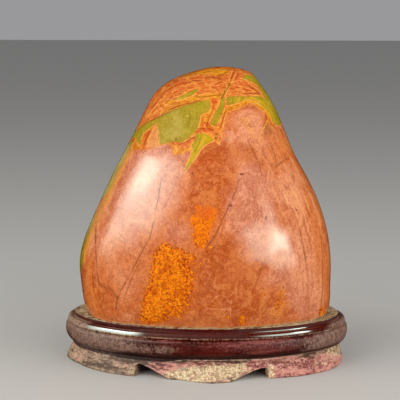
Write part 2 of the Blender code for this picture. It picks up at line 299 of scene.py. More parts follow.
# Lines on the front, in pixels: dark cracks, and pale or golden veins. Lines of one set stay apart.
CRACKS_FRONT = (
    ((161.4, 179), (160, 187), (159, 194), (157.6, 202), (155.8, 209.4)),
    ((153.4, 222), (151.4, 233), (149, 239.5), (145.6, 245.4), (142, 251.4), (136.6, 262), (131.4, 272),
     (127, 280), (121, 290), (117.2, 300), (116, 309)),
    ((96, 222), (95.6, 240), (96, 255), (97, 270), (98.4, 283), (102, 287), (108, 287.4), (113, 291),
     (117, 299)),
    ((239, 180), (233.6, 196), (228, 208), (221, 224), (214, 237), (206, 248.6)),
    ((276, 167), (281, 162.8), (288, 157.4)), ((300, 232), (302, 242), (304.6, 254), (306.6, 268)),
)
SHALLOW_FRONT = (
    ((176, 183), (171.4, 193), (167.4, 201), (162.6, 209)),
    ((161.2, 180), (159.8, 187), (158.8, 194), (157.4, 202), (155.8, 208)),
    ((119, 233), (123.4, 238.4), (127.4, 242.4)), ((93.4, 262), (92.6, 276), (94, 292), (99.6, 306)),
    ((252, 194), (257, 203), (258.6, 212), (254.6, 222)),
    ((248, 140), (253, 152), (259, 164), (262, 176)), ((271, 146), (275, 155), (276.4, 166)),
    ((321, 236), (322.6, 262), (322.6, 290), (320.6, 308)),
    ((140, 262), (134, 274), (128, 288), (124, 300)), ((220, 262), (214, 274), (212, 288)),
    ((262, 262), (260, 274), (255, 286)),
)
VEINS_FRONT = (
    ((139, 155.6), (145, 153), (150, 150.6), (157, 147.4), (163, 145.6), (170, 144)),
    ((113.4, 190), (111.4, 197), (108.6, 203), (103.6, 208.6)), ((118, 189.6), (124, 188)),
    ((163, 166), (169, 161.6)), ((117, 234.6), (122, 239), (128, 242)),
    ((208, 308.4), (219, 309.4), (231, 309.6)),
    ((212, 302), (216, 297), (221, 295), (226, 297.4), (229, 302)),
    ((276, 125.6), (281, 127.4), (285, 134), (288, 141.6), (291, 149)),
    ((226, 211), (222.6, 222), (219, 234), (213, 247)),
    ((250.6, 192), (255, 199), (259, 206), (258.4, 214), (256, 222), (254, 231)),
    ((269, 168), (267.6, 178), (266, 186)), ((262.6, 196), (261, 202)),
    ((283, 190), (287.6, 200), (289.6, 214)), ((296, 194), (300, 206), (302, 220)),
    ((239, 192), (241.6, 200)), ((244, 196), (246, 203)), ((248, 206), (246, 212)),
    ((228, 121), (235, 117), (242, 114.4)), ((232, 300), (230, 309), (231, 318)),
    ((252, 198), (250, 208), (252, 218)), ((285, 272), (288, 280)),
    ((311.6, 187.6), (319.4, 205), (325.4, 224)), ((180, 160), (182, 170), (179, 182)),
)
# Thin lines of the crown: golden ones, in two sets whose lines stay apart, and dark ones
GOLD_LINES_FRONT = (
    ((228.8, 80.6), (230.2, 76.2), (232, 72.4), (233.8, 69)),
    ((222.4, 84), (225.4, 83.6), (227.6, 86), (226, 89.4), (223, 92.6), (220.4, 97)),
    ((230, 82.4), (236, 80.6), (243, 80.8), (249, 83), (255, 87), (260, 92), (264, 97.4)),
    ((228, 94.2), (236, 93.4), (244, 94.6), (253, 95.2), (262, 95.6)),
    ((198, 95.4), (206, 94), (213, 93.6), (219, 92.8)),
    ((175, 97.4), (182, 93.6), (190, 89.8), (197, 88)),
    ((141, 139), (144, 132.6), (149, 129), (153, 126), (157.4, 123.6)),
    ((135.4, 137.4), (138, 143), (140.4, 148)), ((183, 142.8), (190, 138), (195, 134.8), (200, 133.4)),
    ((192, 147), (192.2, 151), (190.4, 157), (187.4, 163.4), (184.4, 169)),
    ((211.4, 134.4), (214, 139.4), (219, 144.2), (221.2, 139), (222.4, 131), (224, 121), (226.6, 113)),
    ((219.6, 99), (217.2, 104.6), (213.8, 110.4), (211, 116), (208.8, 122.4), (213.4, 127), (218, 127)),
    ((201.6, 113), (200.6, 118.6), (199, 124), (196.4, 129.6), (192, 134.4)),
    ((228, 112.4), (233, 110), (239, 108.6), (244, 106.2), (249, 102.4), (254, 104), (259, 108),
     (263.6, 111.4)),
    ((267.4, 119.6), (264.4, 126), (261.6, 132), (259.2, 137.6), (259.4, 142)),
    ((272.6, 101), (276.4, 107), (279.6, 114), (281.6, 121)),
    ((160, 100), (166, 98.6), (172, 100), (178, 101.4)), ((158.4, 105), (162.4, 110.4), (160, 115.6)),
    ((183, 79), (190, 77), (198, 75.6), (206, 75.6)), ((240, 86), (248, 88.4), (256, 92)),
    ((205, 84), (212, 86), (219, 85)), ((172, 92), (180, 87.4), (188, 84.4), (196, 83)),
    ((134, 151), (129.6, 156), (125.4, 163), (122.4, 170), (119.4, 177), (116, 184)),
    ((111.6, 189), (110.8, 196), (107.4, 202), (104.4, 207)),
    ((99.6, 214), (96.6, 220), (93.6, 228), (91.2, 235), (88.6, 243), (86.6, 252), (84.4, 262)),
)
MORE_GOLD_LINES_FRONT = (
    ((233.2, 79.6), (235, 75.6), (237.4, 72)), ((229.4, 87.4), (227, 91.6), (225, 96)),
    ((240, 78.4), (246, 79.6), (252, 82.4)), ((196, 98.8), (204, 98.8), (211, 97.8), (218, 96.4)),
    ((178, 100), (186, 98), (193, 96), (198, 92.6)), ((147, 142), (150.6, 134), (154.6, 128.4)),
    ((171.4, 144.4), (175, 146.4), (177.8, 150), (175.4, 154.4)),
    ((181, 153.8), (185.6, 150.6), (190.4, 148.6)),
    ((213.4, 140.6), (208.4, 142.8), (204.2, 146), (200.8, 149.6), (197.6, 154), (194, 160), (190, 166),
     (185.4, 171.6)),
    ((218.8, 125), (221.2, 120), (223.6, 113), (225.4, 106), (225, 99)), ((214.4, 112.6), (211.8, 118)),
    ((204, 113), (206, 118), (203, 123), (206, 128)),
    ((228, 106.4), (233, 104.8), (239, 102.6), (245, 100.2), (251, 99.8), (256, 102), (261, 105.6),
     (266, 110)),
    ((268.8, 121.6), (270.6, 125), (272.8, 128.6), (276, 131.4)),
    ((147, 117), (152.4, 110.6), (156.4, 105), (160.6, 99.6), (165, 96)),
    ((151, 116), (156, 111.6), (161, 108)), ((163, 104), (168, 106), (173, 105)),
    ((187, 81.6), (195, 79.6), (204, 79.4)), ((208, 89), (215, 89.6), (221, 89)),
    ((236, 89.6), (244, 91.4), (252, 91.6)), ((210, 102), (210.8, 107), (209, 111.4)),
    ((157, 128), (159.6, 134), (159.6, 142.6)), ((205.6, 137), (203, 141.4), (199, 147)),
    ((239.4, 97.6), (238.2, 101.6)), ((251, 97.2), (256, 99.4), (261, 103)),
)
DARK_LINES_FRONT = (
    ((239, 94), (250, 93.6), (262, 93.8)), ((204, 96.6), (212, 95.8), (220, 94.8)),
    ((231, 79.4), (232.8, 75.4), (235, 71.6)), ((236, 78), (238.4, 74.6)), ((228.4, 80.4), (229, 84)),
    ((180, 144.6), (187, 141.4), (193, 137.6)), ((138, 128.4), (148, 122), (158, 117), (168, 112.6)),
    ((170, 109.4), (180, 105.6), (190, 103), (200, 100.8)), ((213, 110.4), (210, 117), (207.4, 124)),
    ((220.6, 127), (223, 119), (225, 111)), ((199.6, 129), (207, 128), (213.6, 130)),
    ((265.6, 115), (266.4, 120), (263.6, 126)), ((144, 145), (146.6, 137), (150.6, 131)),
    ((183, 83.6), (192, 80.8), (201, 80)), ((160, 95), (167, 90), (175, 86)),
    ((176, 140.6), (173.6, 142.8)), ((197, 112), (196.6, 120), (193, 127)),
    ((248, 85.6), (255, 89.6), (259, 94)), ((222, 79), (214, 77.6), (206, 77.8)),
    ((204, 72.4), (211, 70.8), (218, 70.6)), ((218, 75.4), (224, 74.2), (228, 71.4)),
    ((201, 136), (199, 143), (195, 151)), ((233, 98.4), (232, 103)), ((243, 97.8), (241.6, 100.6)),
    ((189, 110), (190, 118), (188, 127)), ((152, 108), (158, 101), (163, 96)), ((172, 97), (166, 103)),
)
STALK_FRONT = (
    ((221.8, 98.6), (223.4, 94), (226, 90.4), (228.6, 86.6), (230, 82.6)),
)
CRACKS_BACK = (
    ((150, 180), (158, 196), (170, 210), (178, 232), (190, 246), (196, 270), (204, 300)),
    ((262, 168), (254, 190), (250, 214), (240, 232), (236, 258)), ((110, 250), (124, 262), (132, 280)),
)
GOLD_LINES_BACK = (
    ((226, 86), (219, 94), (216, 104), (208, 116)), ((150, 116), (160, 103), (172, 96), (184, 90)),
    ((200, 92), (212, 88), (226, 90)), ((98, 206), (106, 202), (118, 190)),
    ((84, 246), (92, 240), (96, 232)), ((196, 152), (206, 132), (218, 112), (224, 99)),
    ((108, 176), (116, 178), (124, 172)), ((256, 124), (262, 112), (276, 106)),
    ((232, 74), (228, 84), (236, 92)), ((240, 98), (250, 104), (256, 112)),
)
DARK_LINES_BACK = (
    ((150, 122), (164, 108), (178, 104)), ((206, 80), (220, 82), (234, 84)), ((244, 96), (258, 104)),
)
VEINS_BACK = (
    ((214, 142), (220, 158), (222, 178), (232, 196), (236, 210)),
    ((140, 152), (150, 168), (148, 190), (140, 214), (142, 236)),
    ((282, 170), (274, 196), (280, 226), (272, 256)), ((176, 280), (196, 286), (214, 282)),
)

# Soft patches, in pixels: middle x and y, half-width, half-height, turn in degrees, amount
ORANGE_FRONT = (
    (164, 262, 8, 13, 3, 1.1), (165, 277, 10, 12, 0, 1.1), (178, 274, 9, 13, 10, 0.55),
    (165, 297, 14, 13, -8, 1.0), (150, 306, 5, 12, 10, 1.0), (153, 317, 10, 5, 0, 0.9),
    (176, 308, 10, 10, 0, 0.34), (186, 289, 9, 13, 0, 0.34), (170, 252, 11, 6, 0, 0.4),
    (190, 274, 8, 11, 0, 0.24), (188, 256, 9, 8, 0, 0.18), (200, 236, 4.6, 8, 8, 1.25),
    (207, 219, 6.5, 7, 15, 0.65), (195, 220, 4, 7, 10, 0.5), (213, 213, 4, 5, 0, 0.4),
    (203, 208, 7, 4, -15, 0.22), (208, 251, 3, 6, 25, 0.3), (209, 231, 3, 9, 25, 0.4),
    (262, 298, 2.4, 7, 15, 0.25), (280, 304, 4, 12, 15, 0.35), (242, 320, 2.4, 5, 0, 0.9),
    (322, 313, 2.2, 4, 0, 1.0), (194, 262, 6, 8, 0, 0.16), (229, 318, 2, 3, 0, 0.5),
    (204, 210, 12, 7, 0, 0.12),
)
PINK_FRONT = (
    (131, 168, 6, 20, 25, 0.8), (250, 212, 17, 30, 5, 1.0), (236, 204, 7, 8, 0, 0.9),
    (303, 292, 13, 24, 0, 0.9), (250, 180, 9, 14, 0, 0.8), (184, 152, 8, 7, 0, 0.9),
    (156, 178, 22, 24, 20, 1.0), (132, 214, 20, 20, 20, 0.7), (178, 234, 12, 12, 0, 0.7),
    (265, 200, 12, 22, 0, 0.4), (98, 240, 5, 14, 10, 0.6), (160, 151, 10, 5, 0, 0.7),
    (283, 272, 14, 14, 0, 0.7), (118, 200, 6, 16, 25, 0.5), (240, 128, 10, 10, 0, 0.35),
)
BROWN_FRONT = (
    (210, 178, 15, 20, 0, 1.15), (198, 198, 8, 8, 0, 0.8), (270, 312, 10, 6, 0, 0.6),
    (118, 304, 8, 8, 0, 0.7), (218, 254, 10, 12, 0, 0.85), (210, 150, 13, 7, -15, 1.0),
    (218, 162, 14, 9, 0, 0.7), (226, 190, 8, 16, 15, 0.5), (228, 236, 10, 14, 15, 0.5),
    (218, 302, 28, 18, 0, 1.0), (100, 300, 4, 9, 0, 0.8), (250, 306, 10, 14, 0, 0.55),
    (207, 268, 12, 12, 0, 0.8), (244, 292, 10, 12, 0, 0.6), (104, 290, 9, 7, 0, 0.5),
    (250, 145, 4, 10, -20, 0.45), (268, 303, 7, 10, 0, 0.55), (260, 168, 5, 9, -20, 0.35),
    (205, 205, 9, 8, 0, 0.45), (189, 240, 9, 7, 0, 0.45),
)
PALE_FRONT = (
    (288, 190, 9, 13, -20, 0.9), (178, 125, 7, 15, 5, 0.9), (167, 134, 5, 8, 0, 0.6),
    (304, 270, 14, 34, -4, 0.45), (318, 300, 6, 16, 6, 0.6), (290, 168, 8, 16, -25, 0.4),
    (228, 137, 5, 6, 0, 0.7), (252, 126, 10, 14, -15, 1.0), (240, 140, 8, 8, 0, 0.4),
    (240, 116, 12, 5, -15, 0.3), (268, 198, 5, 16, 10, 0.5), (262, 149, 6, 9, -20, 0.45),
    (154, 136, 3.4, 9, 18, 1.2), (152, 145, 8, 2.6, -8, 0.8), (300, 224, 12, 34, -12, 0.5),
    (110, 240, 9, 20, 10, 0.35), (130, 317, 12, 4, 0, 0.4), (128, 284, 12, 18, 10, 0.6),
    (112, 268, 8, 10, 0, 0.35), (229, 222, 4, 12, 15, 0.6), (118, 176, 2.4, 22, 25, 0.8),
    (101, 214, 2.4, 18, 25, 1.0), (92, 240, 2, 14, 15, 0.8), (130, 154, 4, 6, 30, 0.7),
    (108, 184, 3.4, 30, 25, 1.6), (90, 222, 3, 24, 22, 1.6), (124, 152, 3, 12, 27, 1.4),
    (272, 108, 6, 12, -30, 0.5), (97, 262, 2.4, 20, 0, 0.3), (295, 270, 6, 14, -10, 0.5),
    (236, 162, 8, 5, 0, 0.4), (268, 282, 12, 8, -20, 0.4), (236, 225, 5, 12, 0, 0.25),
)
WARM_FRONT = (
    (94, 304, 5, 18, -8, 1.3), (89, 275, 3, 20, 0, 0.7), (302, 200, 14, 40, -15, 0.3),
    (318, 262, 8, 36, -5, 0.55), (285, 150, 10, 20, -25, 0.6), (130, 300, 9, 14, 10, 0.35),
    (322, 300, 5, 14, 0, 0.6), (232, 182, 14, 30, 5, 0.2), (290, 316, 8, 3, 0, 0.6),
)
STREAKS_FRONT = (
    (288, 178, 22, 44, -22, 1.0), (300, 224, 20, 50, -12, 0.9), (308, 270, 16, 44, 0, 0.8),
    (246, 215, 14, 30, 10, 0.3), (104, 262, 14, 40, 0, 0.6), (116, 200, 10, 30, 25, 0.4),
)
# Colours of the crown: red and yellow areas, and dark ones that also shade the green
RED_FRONT = (
    (214.4, 104, 3.6, 4.4, 0, 1.3), (206, 130.4, 9, 2.2, 0, 1.0), (146.6, 139, 2.6, 8, 25, 1.0),
    (186, 143.6, 5, 1.6, -25, 1.0), (242, 85, 12, 4, 15, 0.8), (250, 92, 12, 1.8, 0, 0.7),
    (192, 79, 12, 2.6, -12, 0.9), (176, 90, 16, 3.4, -26, 0.7), (196, 91, 8, 2, 0, 0.5),
    (238, 75, 4, 4, 20, 0.9), (174, 142, 2, 1.2, 0, 1.0), (155, 107, 3, 9, 40, 0.4),
    (265.6, 118, 1.6, 4, 0, 1.0), (206, 212, 10, 8, 0, 0.7), (238, 203, 5, 7, 0, 0.7),
    (222, 122, 1.4, 8, 15, 0.5), (209.6, 121, 1.4, 5, 20, 0.5), (137, 145, 2, 4, -25, 0.6),
    (126, 158, 2, 4, 25, 0.7), (112, 190, 3, 4, 20, 0.8), (104, 206, 2.4, 4, 30, 0.8),
    (100, 219, 2, 4, 25, 0.7), (88, 250, 1.6, 8, 10, 0.6), (232, 112, 3, 2, 0, 0.3),
    (204, 124.6, 4, 2.6, 0, 0.7),
)
YELLOW_FRONT = (
    (218, 71.6, 10, 3, 0, 1.3), (204, 72.6, 8, 2, -6, 0.8), (206, 141, 7, 5, 0, 0.5),
    (195, 153, 3, 11, 22, 0.5), (240, 100, 10, 2.6, 0, 0.35), (259, 100, 8, 3, 20, 0.5),
    (256, 101.6, 6, 2.6, 25, 1.0), (246, 101, 5, 1.8, -10, 0.8), (264, 109, 3, 6, -35, 0.7),
    (121, 168, 2.4, 15, 25, 1.2), (107, 198, 2.4, 12, 25, 1.1), (95, 230, 2.4, 16, 22, 1.2),
    (207, 136, 5, 2.2, 12, 1.2), (197, 152, 2.4, 8, 22, 0.7), (167, 102.6, 6, 3.4, 0, 0.7),
    (190, 98.6, 14, 2, -8, 0.8), (213, 95.6, 8, 2.6, 0, 0.7), (176, 150, 3, 4, 0, 1.2),
    (271, 116, 3, 9, -15, 0.6), (186, 150, 4, 2, -20, 0.6), (237, 107, 7, 1.6, -10, 0.5),
    (191, 155, 1.6, 6, 20, 0.8), (250, 127, 4, 10, -32, 0.9), (229, 136, 5, 4, 0, 0.4),
    (243, 122, 8, 3, -20, 0.4), (281, 300, 5, 16, 12, 0.9), (263, 300, 3, 10, 15, 0.7),
    (272, 312, 8, 5, 0, 0.5),
)
DARK_FRONT = (
    (190.6, 117, 1.6, 2, 0, 0.7), (188, 126, 3, 6, 0, 0.4), (203, 106, 6, 4, 0, 0.4),
    (200, 97, 9, 1.8, 0, 0.6), (164, 113.4, 16, 2.2, -24, 0.5), (190, 104, 12, 2.2, -12, 0.4),
    (197, 127, 2, 3, 0, 0.8), (146, 127, 9, 2.6, -32, 0.3), (220, 108, 1.8, 8, 22, 0.5),
    (214, 121, 2.4, 4, 20, 0.4), (260, 98.6, 5, 1.8, 10, 0.6), (268, 130, 3.6, 6, 15, 1.2),
    (217, 137, 2, 3.6, 0, 1.2), (181, 94.6, 9, 1.8, -26, 0.6), (142, 134, 3, 3, 0, 0.2),
    (234, 101, 4, 3, 0, 0.3), (166, 115, 12, 1.8, -24, 0.4), (280, 114, 1.6, 8, -25, 0.5),
    (225, 93, 2, 3, 0, 0.5),
)
ORANGE_BACK = (
    (250, 262, 18, 22, 10, 1.0), (236, 284, 16, 14, 0, 0.9), (160, 226, 10, 16, 20, 0.8),
    (172, 240, 8, 10, 0, 0.7), (196, 200, 6, 12, 20, 0.5), (290, 300, 8, 16, 0, 0.7),
)
PINK_BACK = (
    (130, 250, 26, 34, 0, 0.7), (236, 190, 20, 26, 0, 0.6), (200, 250, 20, 20, 0, 0.4),
    (290, 240, 14, 30, 0, 0.6), (180, 178, 14, 14, 0, 0.6),
)
BROWN_BACK = (
    (212, 232, 20, 20, 0, 0.7), (170, 290, 26, 16, 0, 0.6), (262, 210, 14, 20, 0, 0.5),
    (220, 160, 12, 10, 0, 0.7),
)
PALE_BACK = (
    (190, 128, 9, 16, 20, 0.9), (262, 112, 8, 8, 0, 0.8), (104, 196, 5, 24, 25, 0.8),
    (160, 190, 8, 20, 20, 0.6), (275, 180, 8, 22, -20, 0.7), (110, 262, 8, 30, 0, 0.4),
)
WARM_BACK = ((290, 200, 20, 50, -15, 0.6), (100, 240, 12, 50, 10, 0.6), (210, 300, 40, 16, 0, 0.4))
RED_BACK = ((214, 108, 8, 6, 0, 1.0), (180, 96, 12, 6, -20, 0.8), (246, 88, 10, 6, 0, 0.7))
YELLOW_BACK = ((224, 76, 12, 5, 0, 0.9), (200, 122, 14, 12, 0, 0.8), (262, 108, 8, 8, 0, 0.7))
DARK_BACK = ((180, 128, 8, 8, 0, 0.6), (240, 112, 10, 6, 0, 0.5), (150, 126, 8, 5, 0, 0.5))
STREAKS_BACK = ((280, 210, 30, 60, -20, 1.0), (120, 240, 24, 60, 15, 0.8), (200, 200, 24, 40, 0, 0.4))
# Small pits: middle x and y, half-width, half-height
PITS_FRONT = (
    (192.6, 173.4, 1.5, 1.0), (241.6, 174.2, 2.6, 1.0), (230.6, 205.4, 1.8, 1.3), (266, 218, 1.0, 2.6),
    (296.6, 210, 1.1, 1.0), (213.6, 247.8, 1.1, 1.1), (232.6, 309, 1.2, 1.0), (247.4, 231.6, 0.9, 1.2),
    (227.8, 267, 1.0, 1.0), (176, 138.8, 1.0, 1.0), (283.6, 287.4, 0.8, 1.6),
)

# Wear of the stand, as soft patches seen from the front: dust, rubbed lacquer and bare pale wood; one thin
# crimson patch along the bead's top is a painted highlight
DUST_STAND = (
    (82, 312, 14, 7, 35, 1.2), (72, 322, 10, 8, 30, 1.1), (78, 322, 12, 5, 25, 0.8),
    (92, 340, 15, 7, 14, 1.3), (168, 350, 9, 4, 0, 0.4), (116, 345, 16, 7, 10, 0.8),
    (146, 350, 20, 5, 5, 0.5), (310, 318, 26, 4, -12, 1.0), (340, 320, 10, 10, -20, 1.2),
    (332, 337, 16, 9, -18, 1.0), (296, 343, 20, 5, -8, 0.3), (324, 349, 20, 5, -14, 1.1),
    (230, 339, 30, 1.4, 0, 0.3),
)
CRIMSON_STAND = (
    (168, 341.4, 8, 1.4, 2, 1.1), (184, 347, 20, 4, 0, 0.4), (246, 346, 34, 6, -3, 0.6),
    # The thin patch at (206, 334), along the bead's top at the front, is a painted highlight
    (290, 342, 22, 5, -8, 0.5), (206, 334, 40, 1.4, 0, 0.7), (126, 362, 8, 3, 12, 0.5),
    (162, 368, 12, 6, 20, 1.1), (186, 364, 16, 3, 0, 0.6), (216, 381, 16, 2.4, 0, 0.8),
    (252, 368, 14, 5, -20, 0.8), (222, 364, 26, 2.4, 0, 0.9), (282, 369, 24, 8, -3, 1.2),
    (314, 367, 26, 8, -14, 1.15), (206, 374, 5, 3, 0, 0.5),
)
CREAM_STAND = (
    (213, 372.5, 26, 6, 0, 1.1), (188, 377.5, 20, 3.4, 8, 0.8), (270, 373, 4, 8, 0, 0.8),
    (334, 351, 8, 6, -30, 0.6), (240, 367, 6, 3, -20, 0.7), (72, 354, 6, 10, 20, 0.3),
    (132, 370, 3, 5, 0, 0.4), (320, 363, 10, 3, -14, 0.35),
)
# The pixel column that the back's wear is mirrored at
STAND_MIDDLE = 205.6

BUMP_STRENGTH = 0.6

# Lights: name, what they aim at, ranges of azimuth and elevation, how far each side fades (left,
# right, bottom, top), distance, radiance, colour, kind; all angles in degrees
LEFT_SHOULDER = (-0.045, -0.050, 0.145)
RIGHT_BELLY = (0.055, -0.050, 0.100)
MIDDLE = (0.0, 0.0, 0.12)
DAYLIGHT = (1.0, 0.97, 0.90)
WINDOW_LIGHT = (0.84, 1.0, 0.88)
LAMPLIGHT = (1.0, 0.98, 0.94)
LIGHTS = (
    ("window", LEFT_SHOULDER, (-84, -38), (13, 38), (18, 14, 10, 3), 1.2, 5.6, WINDOW_LIGHT, "shine"),
    ("room_left", LEFT_SHOULDER, (-100, -10), (-10, 38), (30, 34, 26, 3), 1.4, 5.6, WINDOW_LIGHT, "shine"),
    ("lamp_right", RIGHT_BELLY, (48, 72), (-10, 8), (10, 7, 3, 10), 0.40, 7.5, WINDOW_LIGHT, "shine"),
    ("lamp_streak", RIGHT_BELLY, (50, 66), (-2, 28), (8, 6, 4, 18), 0.42, 3.4, WINDOW_LIGHT, "shine"),
    ("room_right", RIGHT_BELLY, (18, 72), (-18, 10), (23, 9, 6, 12), 0.42, 4.8, WINDOW_LIGHT, "shine"),
    ("key_glow", MIDDLE, (-85, -20), (0, 60), (0, 0, 0, 0), 1.3, 2.0, DAYLIGHT, "glow"),
    ("fill_glow", MIDDLE, (15, 95), (0, 45), (0, 0, 0, 0), 1.3, 2.05, LAMPLIGHT, "glow"),
)

FLOOR_HALF_WIDTH = 6.0
FLOOR_COLOUR = (0.62, 0.61, 0.59, 1.0)
SKY_COLOUR = (0.80, 0.80, 0.82, 1.0)
SKY_STRENGTH = 0.4


def smoothstep(low, high, value):
    share = np.clip((value - low) / (high - low), 0.0, 1.0)
    return share * share * (3.0 - 2.0 * share)


# Camera


def camera_axes():
    """The camera's right, level forward, up and forward directions."""
    right = np.array((math.cos(CAMERA_YAW), math.sin(CAMERA_YAW), 0.0))
    level = np.array((-math.sin(CAMERA_YAW), math.cos(CAMERA_YAW), 0.0))
    forward = level * math.cos(CAMERA_PITCH) - np.array((0.0, 0.0, math.sin(CAMERA_PITCH)))
    return right, level, np.cross(right, forward), forward


def photo_charts(points):
    """Pixels to the right and down for each point, and how far it is behind the outline's plane.

    A point behind that plane gets the pixels of its mirror image before it, so that the drawings of
    the front and the back meet along the outline.
    """
    right, level, up, forward = camera_axes()
    behind = points @ level + OUTLINE_PLANE
    away = points - np.outer(np.where(behind > 0.0, 2.0 * behind, 0.0), level) - CAMERA_PLACE
    scale = FOCAL / (away @ forward)
    return PICTURE / 2.0 + scale * (away @ right), PICTURE / 2.0 - scale * (away @ up), behind


def wandering(points, charts):
    """Lets the places wander on the sides and back, so that no edge runs straight there."""
    across, down, behind = charts
    _, y, z = points.T / MM
    swing = np.sin(z / 8.3 + 1.5 * np.sin(y / 9.0)) + 0.7 * np.sin(z / 3.7 - y / 6.1 + 2.0)
    sway = np.sin(y / 6.7 + 1.2 * np.sin(z / 10.0 + 1.0)) + 0.6 * np.sin(y / 3.1 + z / 5.3)
    share = smoothstep(WANDER_START, WANDER_FULL, behind)
    return across + WANDER_ACROSS * swing * share, down + WANDER_DOWN * sway * share, behind


# Drawing on the pieces


def segment_distance(across, down, start, end):
    """Distance from each place to a straight piece of line, and the side that it is on."""
    run = np.array(end, dtype=float) - np.array(start, dtype=float)
    from_start = np.stack([across - start[0], down - start[1]])
    share = np.clip((from_start[0] * run[0] + from_start[1] * run[1]) / (run @ run), 0.0, 1.0)
    gap = from_start - np.outer(run, share)
    side = run[0] * from_start[1] - run[1] * from_start[0]
    return np.hypot(gap[0], gap[1]), side


def outline_depth(across, down, outlines):
    """Pixels from the nearest outline, positive inside one of the outlines."""
    best = np.full(len(across), -FAR_PIXELS)
    for outline in outlines.values():
        nearest = np.full(len(across), FAR_PIXELS)
        inside = np.zeros(len(across), dtype=bool)
        for start, end in zip(outline, outline[1:] + outline[:1]):
            nearest = np.minimum(nearest, segment_distance(across, down, start, end)[0])
            if start[1] != end[1]:
                crosses = (start[1] > down) != (end[1] > down)
                share = (down - start[1]) / (end[1] - start[1])
                inside ^= crosses & (across < start[0] + share * (end[0] - start[0]))
        best = np.maximum(best, np.where(inside, nearest, -nearest))
    return best


def line_distance(across, down, lines):
    """Signed pixels from the nearest line, and a share that fades away from the lines."""
    nearest = np.full(len(across), FAR_PIXELS)
    signed = nearest.copy()
    for line in lines:
        for start, end in zip(line, line[1:]):
            gap, side = segment_distance(across, down, start, end)
            closer = gap < nearest
            nearest = np.where(closer, gap, nearest)
            signed = np.where(closer, np.copysign(gap, side), signed)
    return signed, 1.0 - smoothstep(*LINE_FADE, nearest)


def soft_patches(across, down, patches):
    """Adds up soft oval patches."""
    total = np.zeros(len(across))
    for x, y, half_width, half_height, turn, amount in patches:
        cosine = math.cos(math.radians(turn))
        sine = math.sin(math.radians(turn))
        along = ((across - x) * cosine + (down - y) * sine) / half_width
        over = ((down - y) * cosine - (across - x) * sine) / half_height
        total += amount * np.exp(-0.5 * (along**2 + over**2) ** PATCH_POWER)
    return total


def two_sided(charts, draw, front, back):
    """Draws one thing on the front and another on the back; they meet softly at the sides."""
    across, down, behind = charts
    share = smoothstep(0.0, SIDE_BLEND, behind)
    return draw(across, down, front) * (1.0 - share) + draw(across, down, back) * share


def two_sided_lines(charts, front, back):
    """The same for lines, which change over at once; their distance, and then their share."""
    across, down, behind = charts
    sides = zip(line_distance(across, down, front), line_distance(across, down, back))
    return [np.where(behind > 0.0, on_back, on_front) for on_front, on_back in sides]


def write_attribute(mesh, name, values):
    attribute = mesh.attributes.new(name, "FLOAT_VECTOR", "POINT")
    attribute.data.foreach_set("vector", np.stack(values, axis=1).astype(np.float32).ravel())


def read_vertices(mesh, what="co"):
    numbers = np.empty(len(mesh.vertices) * 3)
    mesh.vertices.foreach_get(what, numbers)
    return numbers.reshape(-1, 3)


def draw_markings(mesh):
    """Stores the stone's markings as attributes of its vertices."""
    places = read_vertices(mesh)
    charts = wandering(places, photo_charts(places))
    across, down, behind = charts
    areas = ((GREEN_FRONT, GREEN_BACK), (GOLD_FRONT, GOLD_BACK), (BROKEN_FRONT, BROKEN_BACK))
    tints = ((ORANGE_FRONT, ORANGE_BACK), (PINK_FRONT, PINK_BACK), (BROWN_FRONT, BROWN_BACK))
    shades = ((PALE_FRONT, PALE_BACK), (WARM_FRONT, WARM_BACK), (STREAKS_FRONT, STREAKS_BACK))
    glow = ((RED_FRONT, RED_BACK), (YELLOW_FRONT, YELLOW_BACK), (DARK_FRONT, DARK_BACK))
    for name, draw, drawings in (
        ("breccia", outline_depth, areas),
        ("tints", soft_patches, tints),
        ("shades", soft_patches, shades),
        ("glow", soft_patches, glow),
    ):
        write_attribute(mesh, name, [two_sided(charts, draw, *drawing) for drawing in drawings])

    cracks = ((CRACKS_FRONT, CRACKS_BACK), (SHALLOW_FRONT, CRACKS_BACK[:1]), (VEINS_FRONT, VEINS_BACK))
    thin = (
        (GOLD_LINES_FRONT, GOLD_LINES_BACK),
        (MORE_GOLD_LINES_FRONT, GOLD_LINES_BACK[:2]),
        (DARK_LINES_FRONT, DARK_LINES_BACK),
    )
    for name, drawings in (
        ("crack", cracks),
        ("gold_line", thin),
        ("stalk", ((STALK_FRONT, STALK_FRONT),) * 3),
    ):
        sides, shares = zip(*(two_sided_lines(charts, *drawing) for drawing in drawings))
        write_attribute(mesh, name + "_side", sides)
        write_attribute(mesh, name + "_near", shares)

    layer, _ = line_distance(across, down, (LAYER_LINE,))
    flow, _ = line_distance(across, down, FLOW_LINES)
    pits = np.zeros(len(across))
    for x, y, half_width, half_height in PITS_FRONT:
        reach = ((across - x) / half_width) ** 2 + ((down - y) / half_height) ** 2
        pits = np.maximum(pits, np.exp(-PIT_SOFTNESS * reach))
    write_attribute(mesh, "runs", (layer, flow, np.where(behind > 0.0, 0.0, pits)))


def draw_wear_and_sheen(mesh):
    """Stores where the stand is dusty, where its lacquer is worn to crimson and to pale wood, and where a
    highlight is painted along its bead.

    Its back is worn as its front is, turned round.
    """
    across, down, behind = photo_charts(read_vertices(mesh))
    across = np.where(behind > 0.0, 2.0 * STAND_MIDDLE - across, across)
    wear_and_sheen = (DUST_STAND, CRIMSON_STAND, CREAM_STAND)
    write_attribute(mesh, "wear_and_sheen", [soft_patches(across, down, patches) for patches in wear_and_sheen])


# Stone


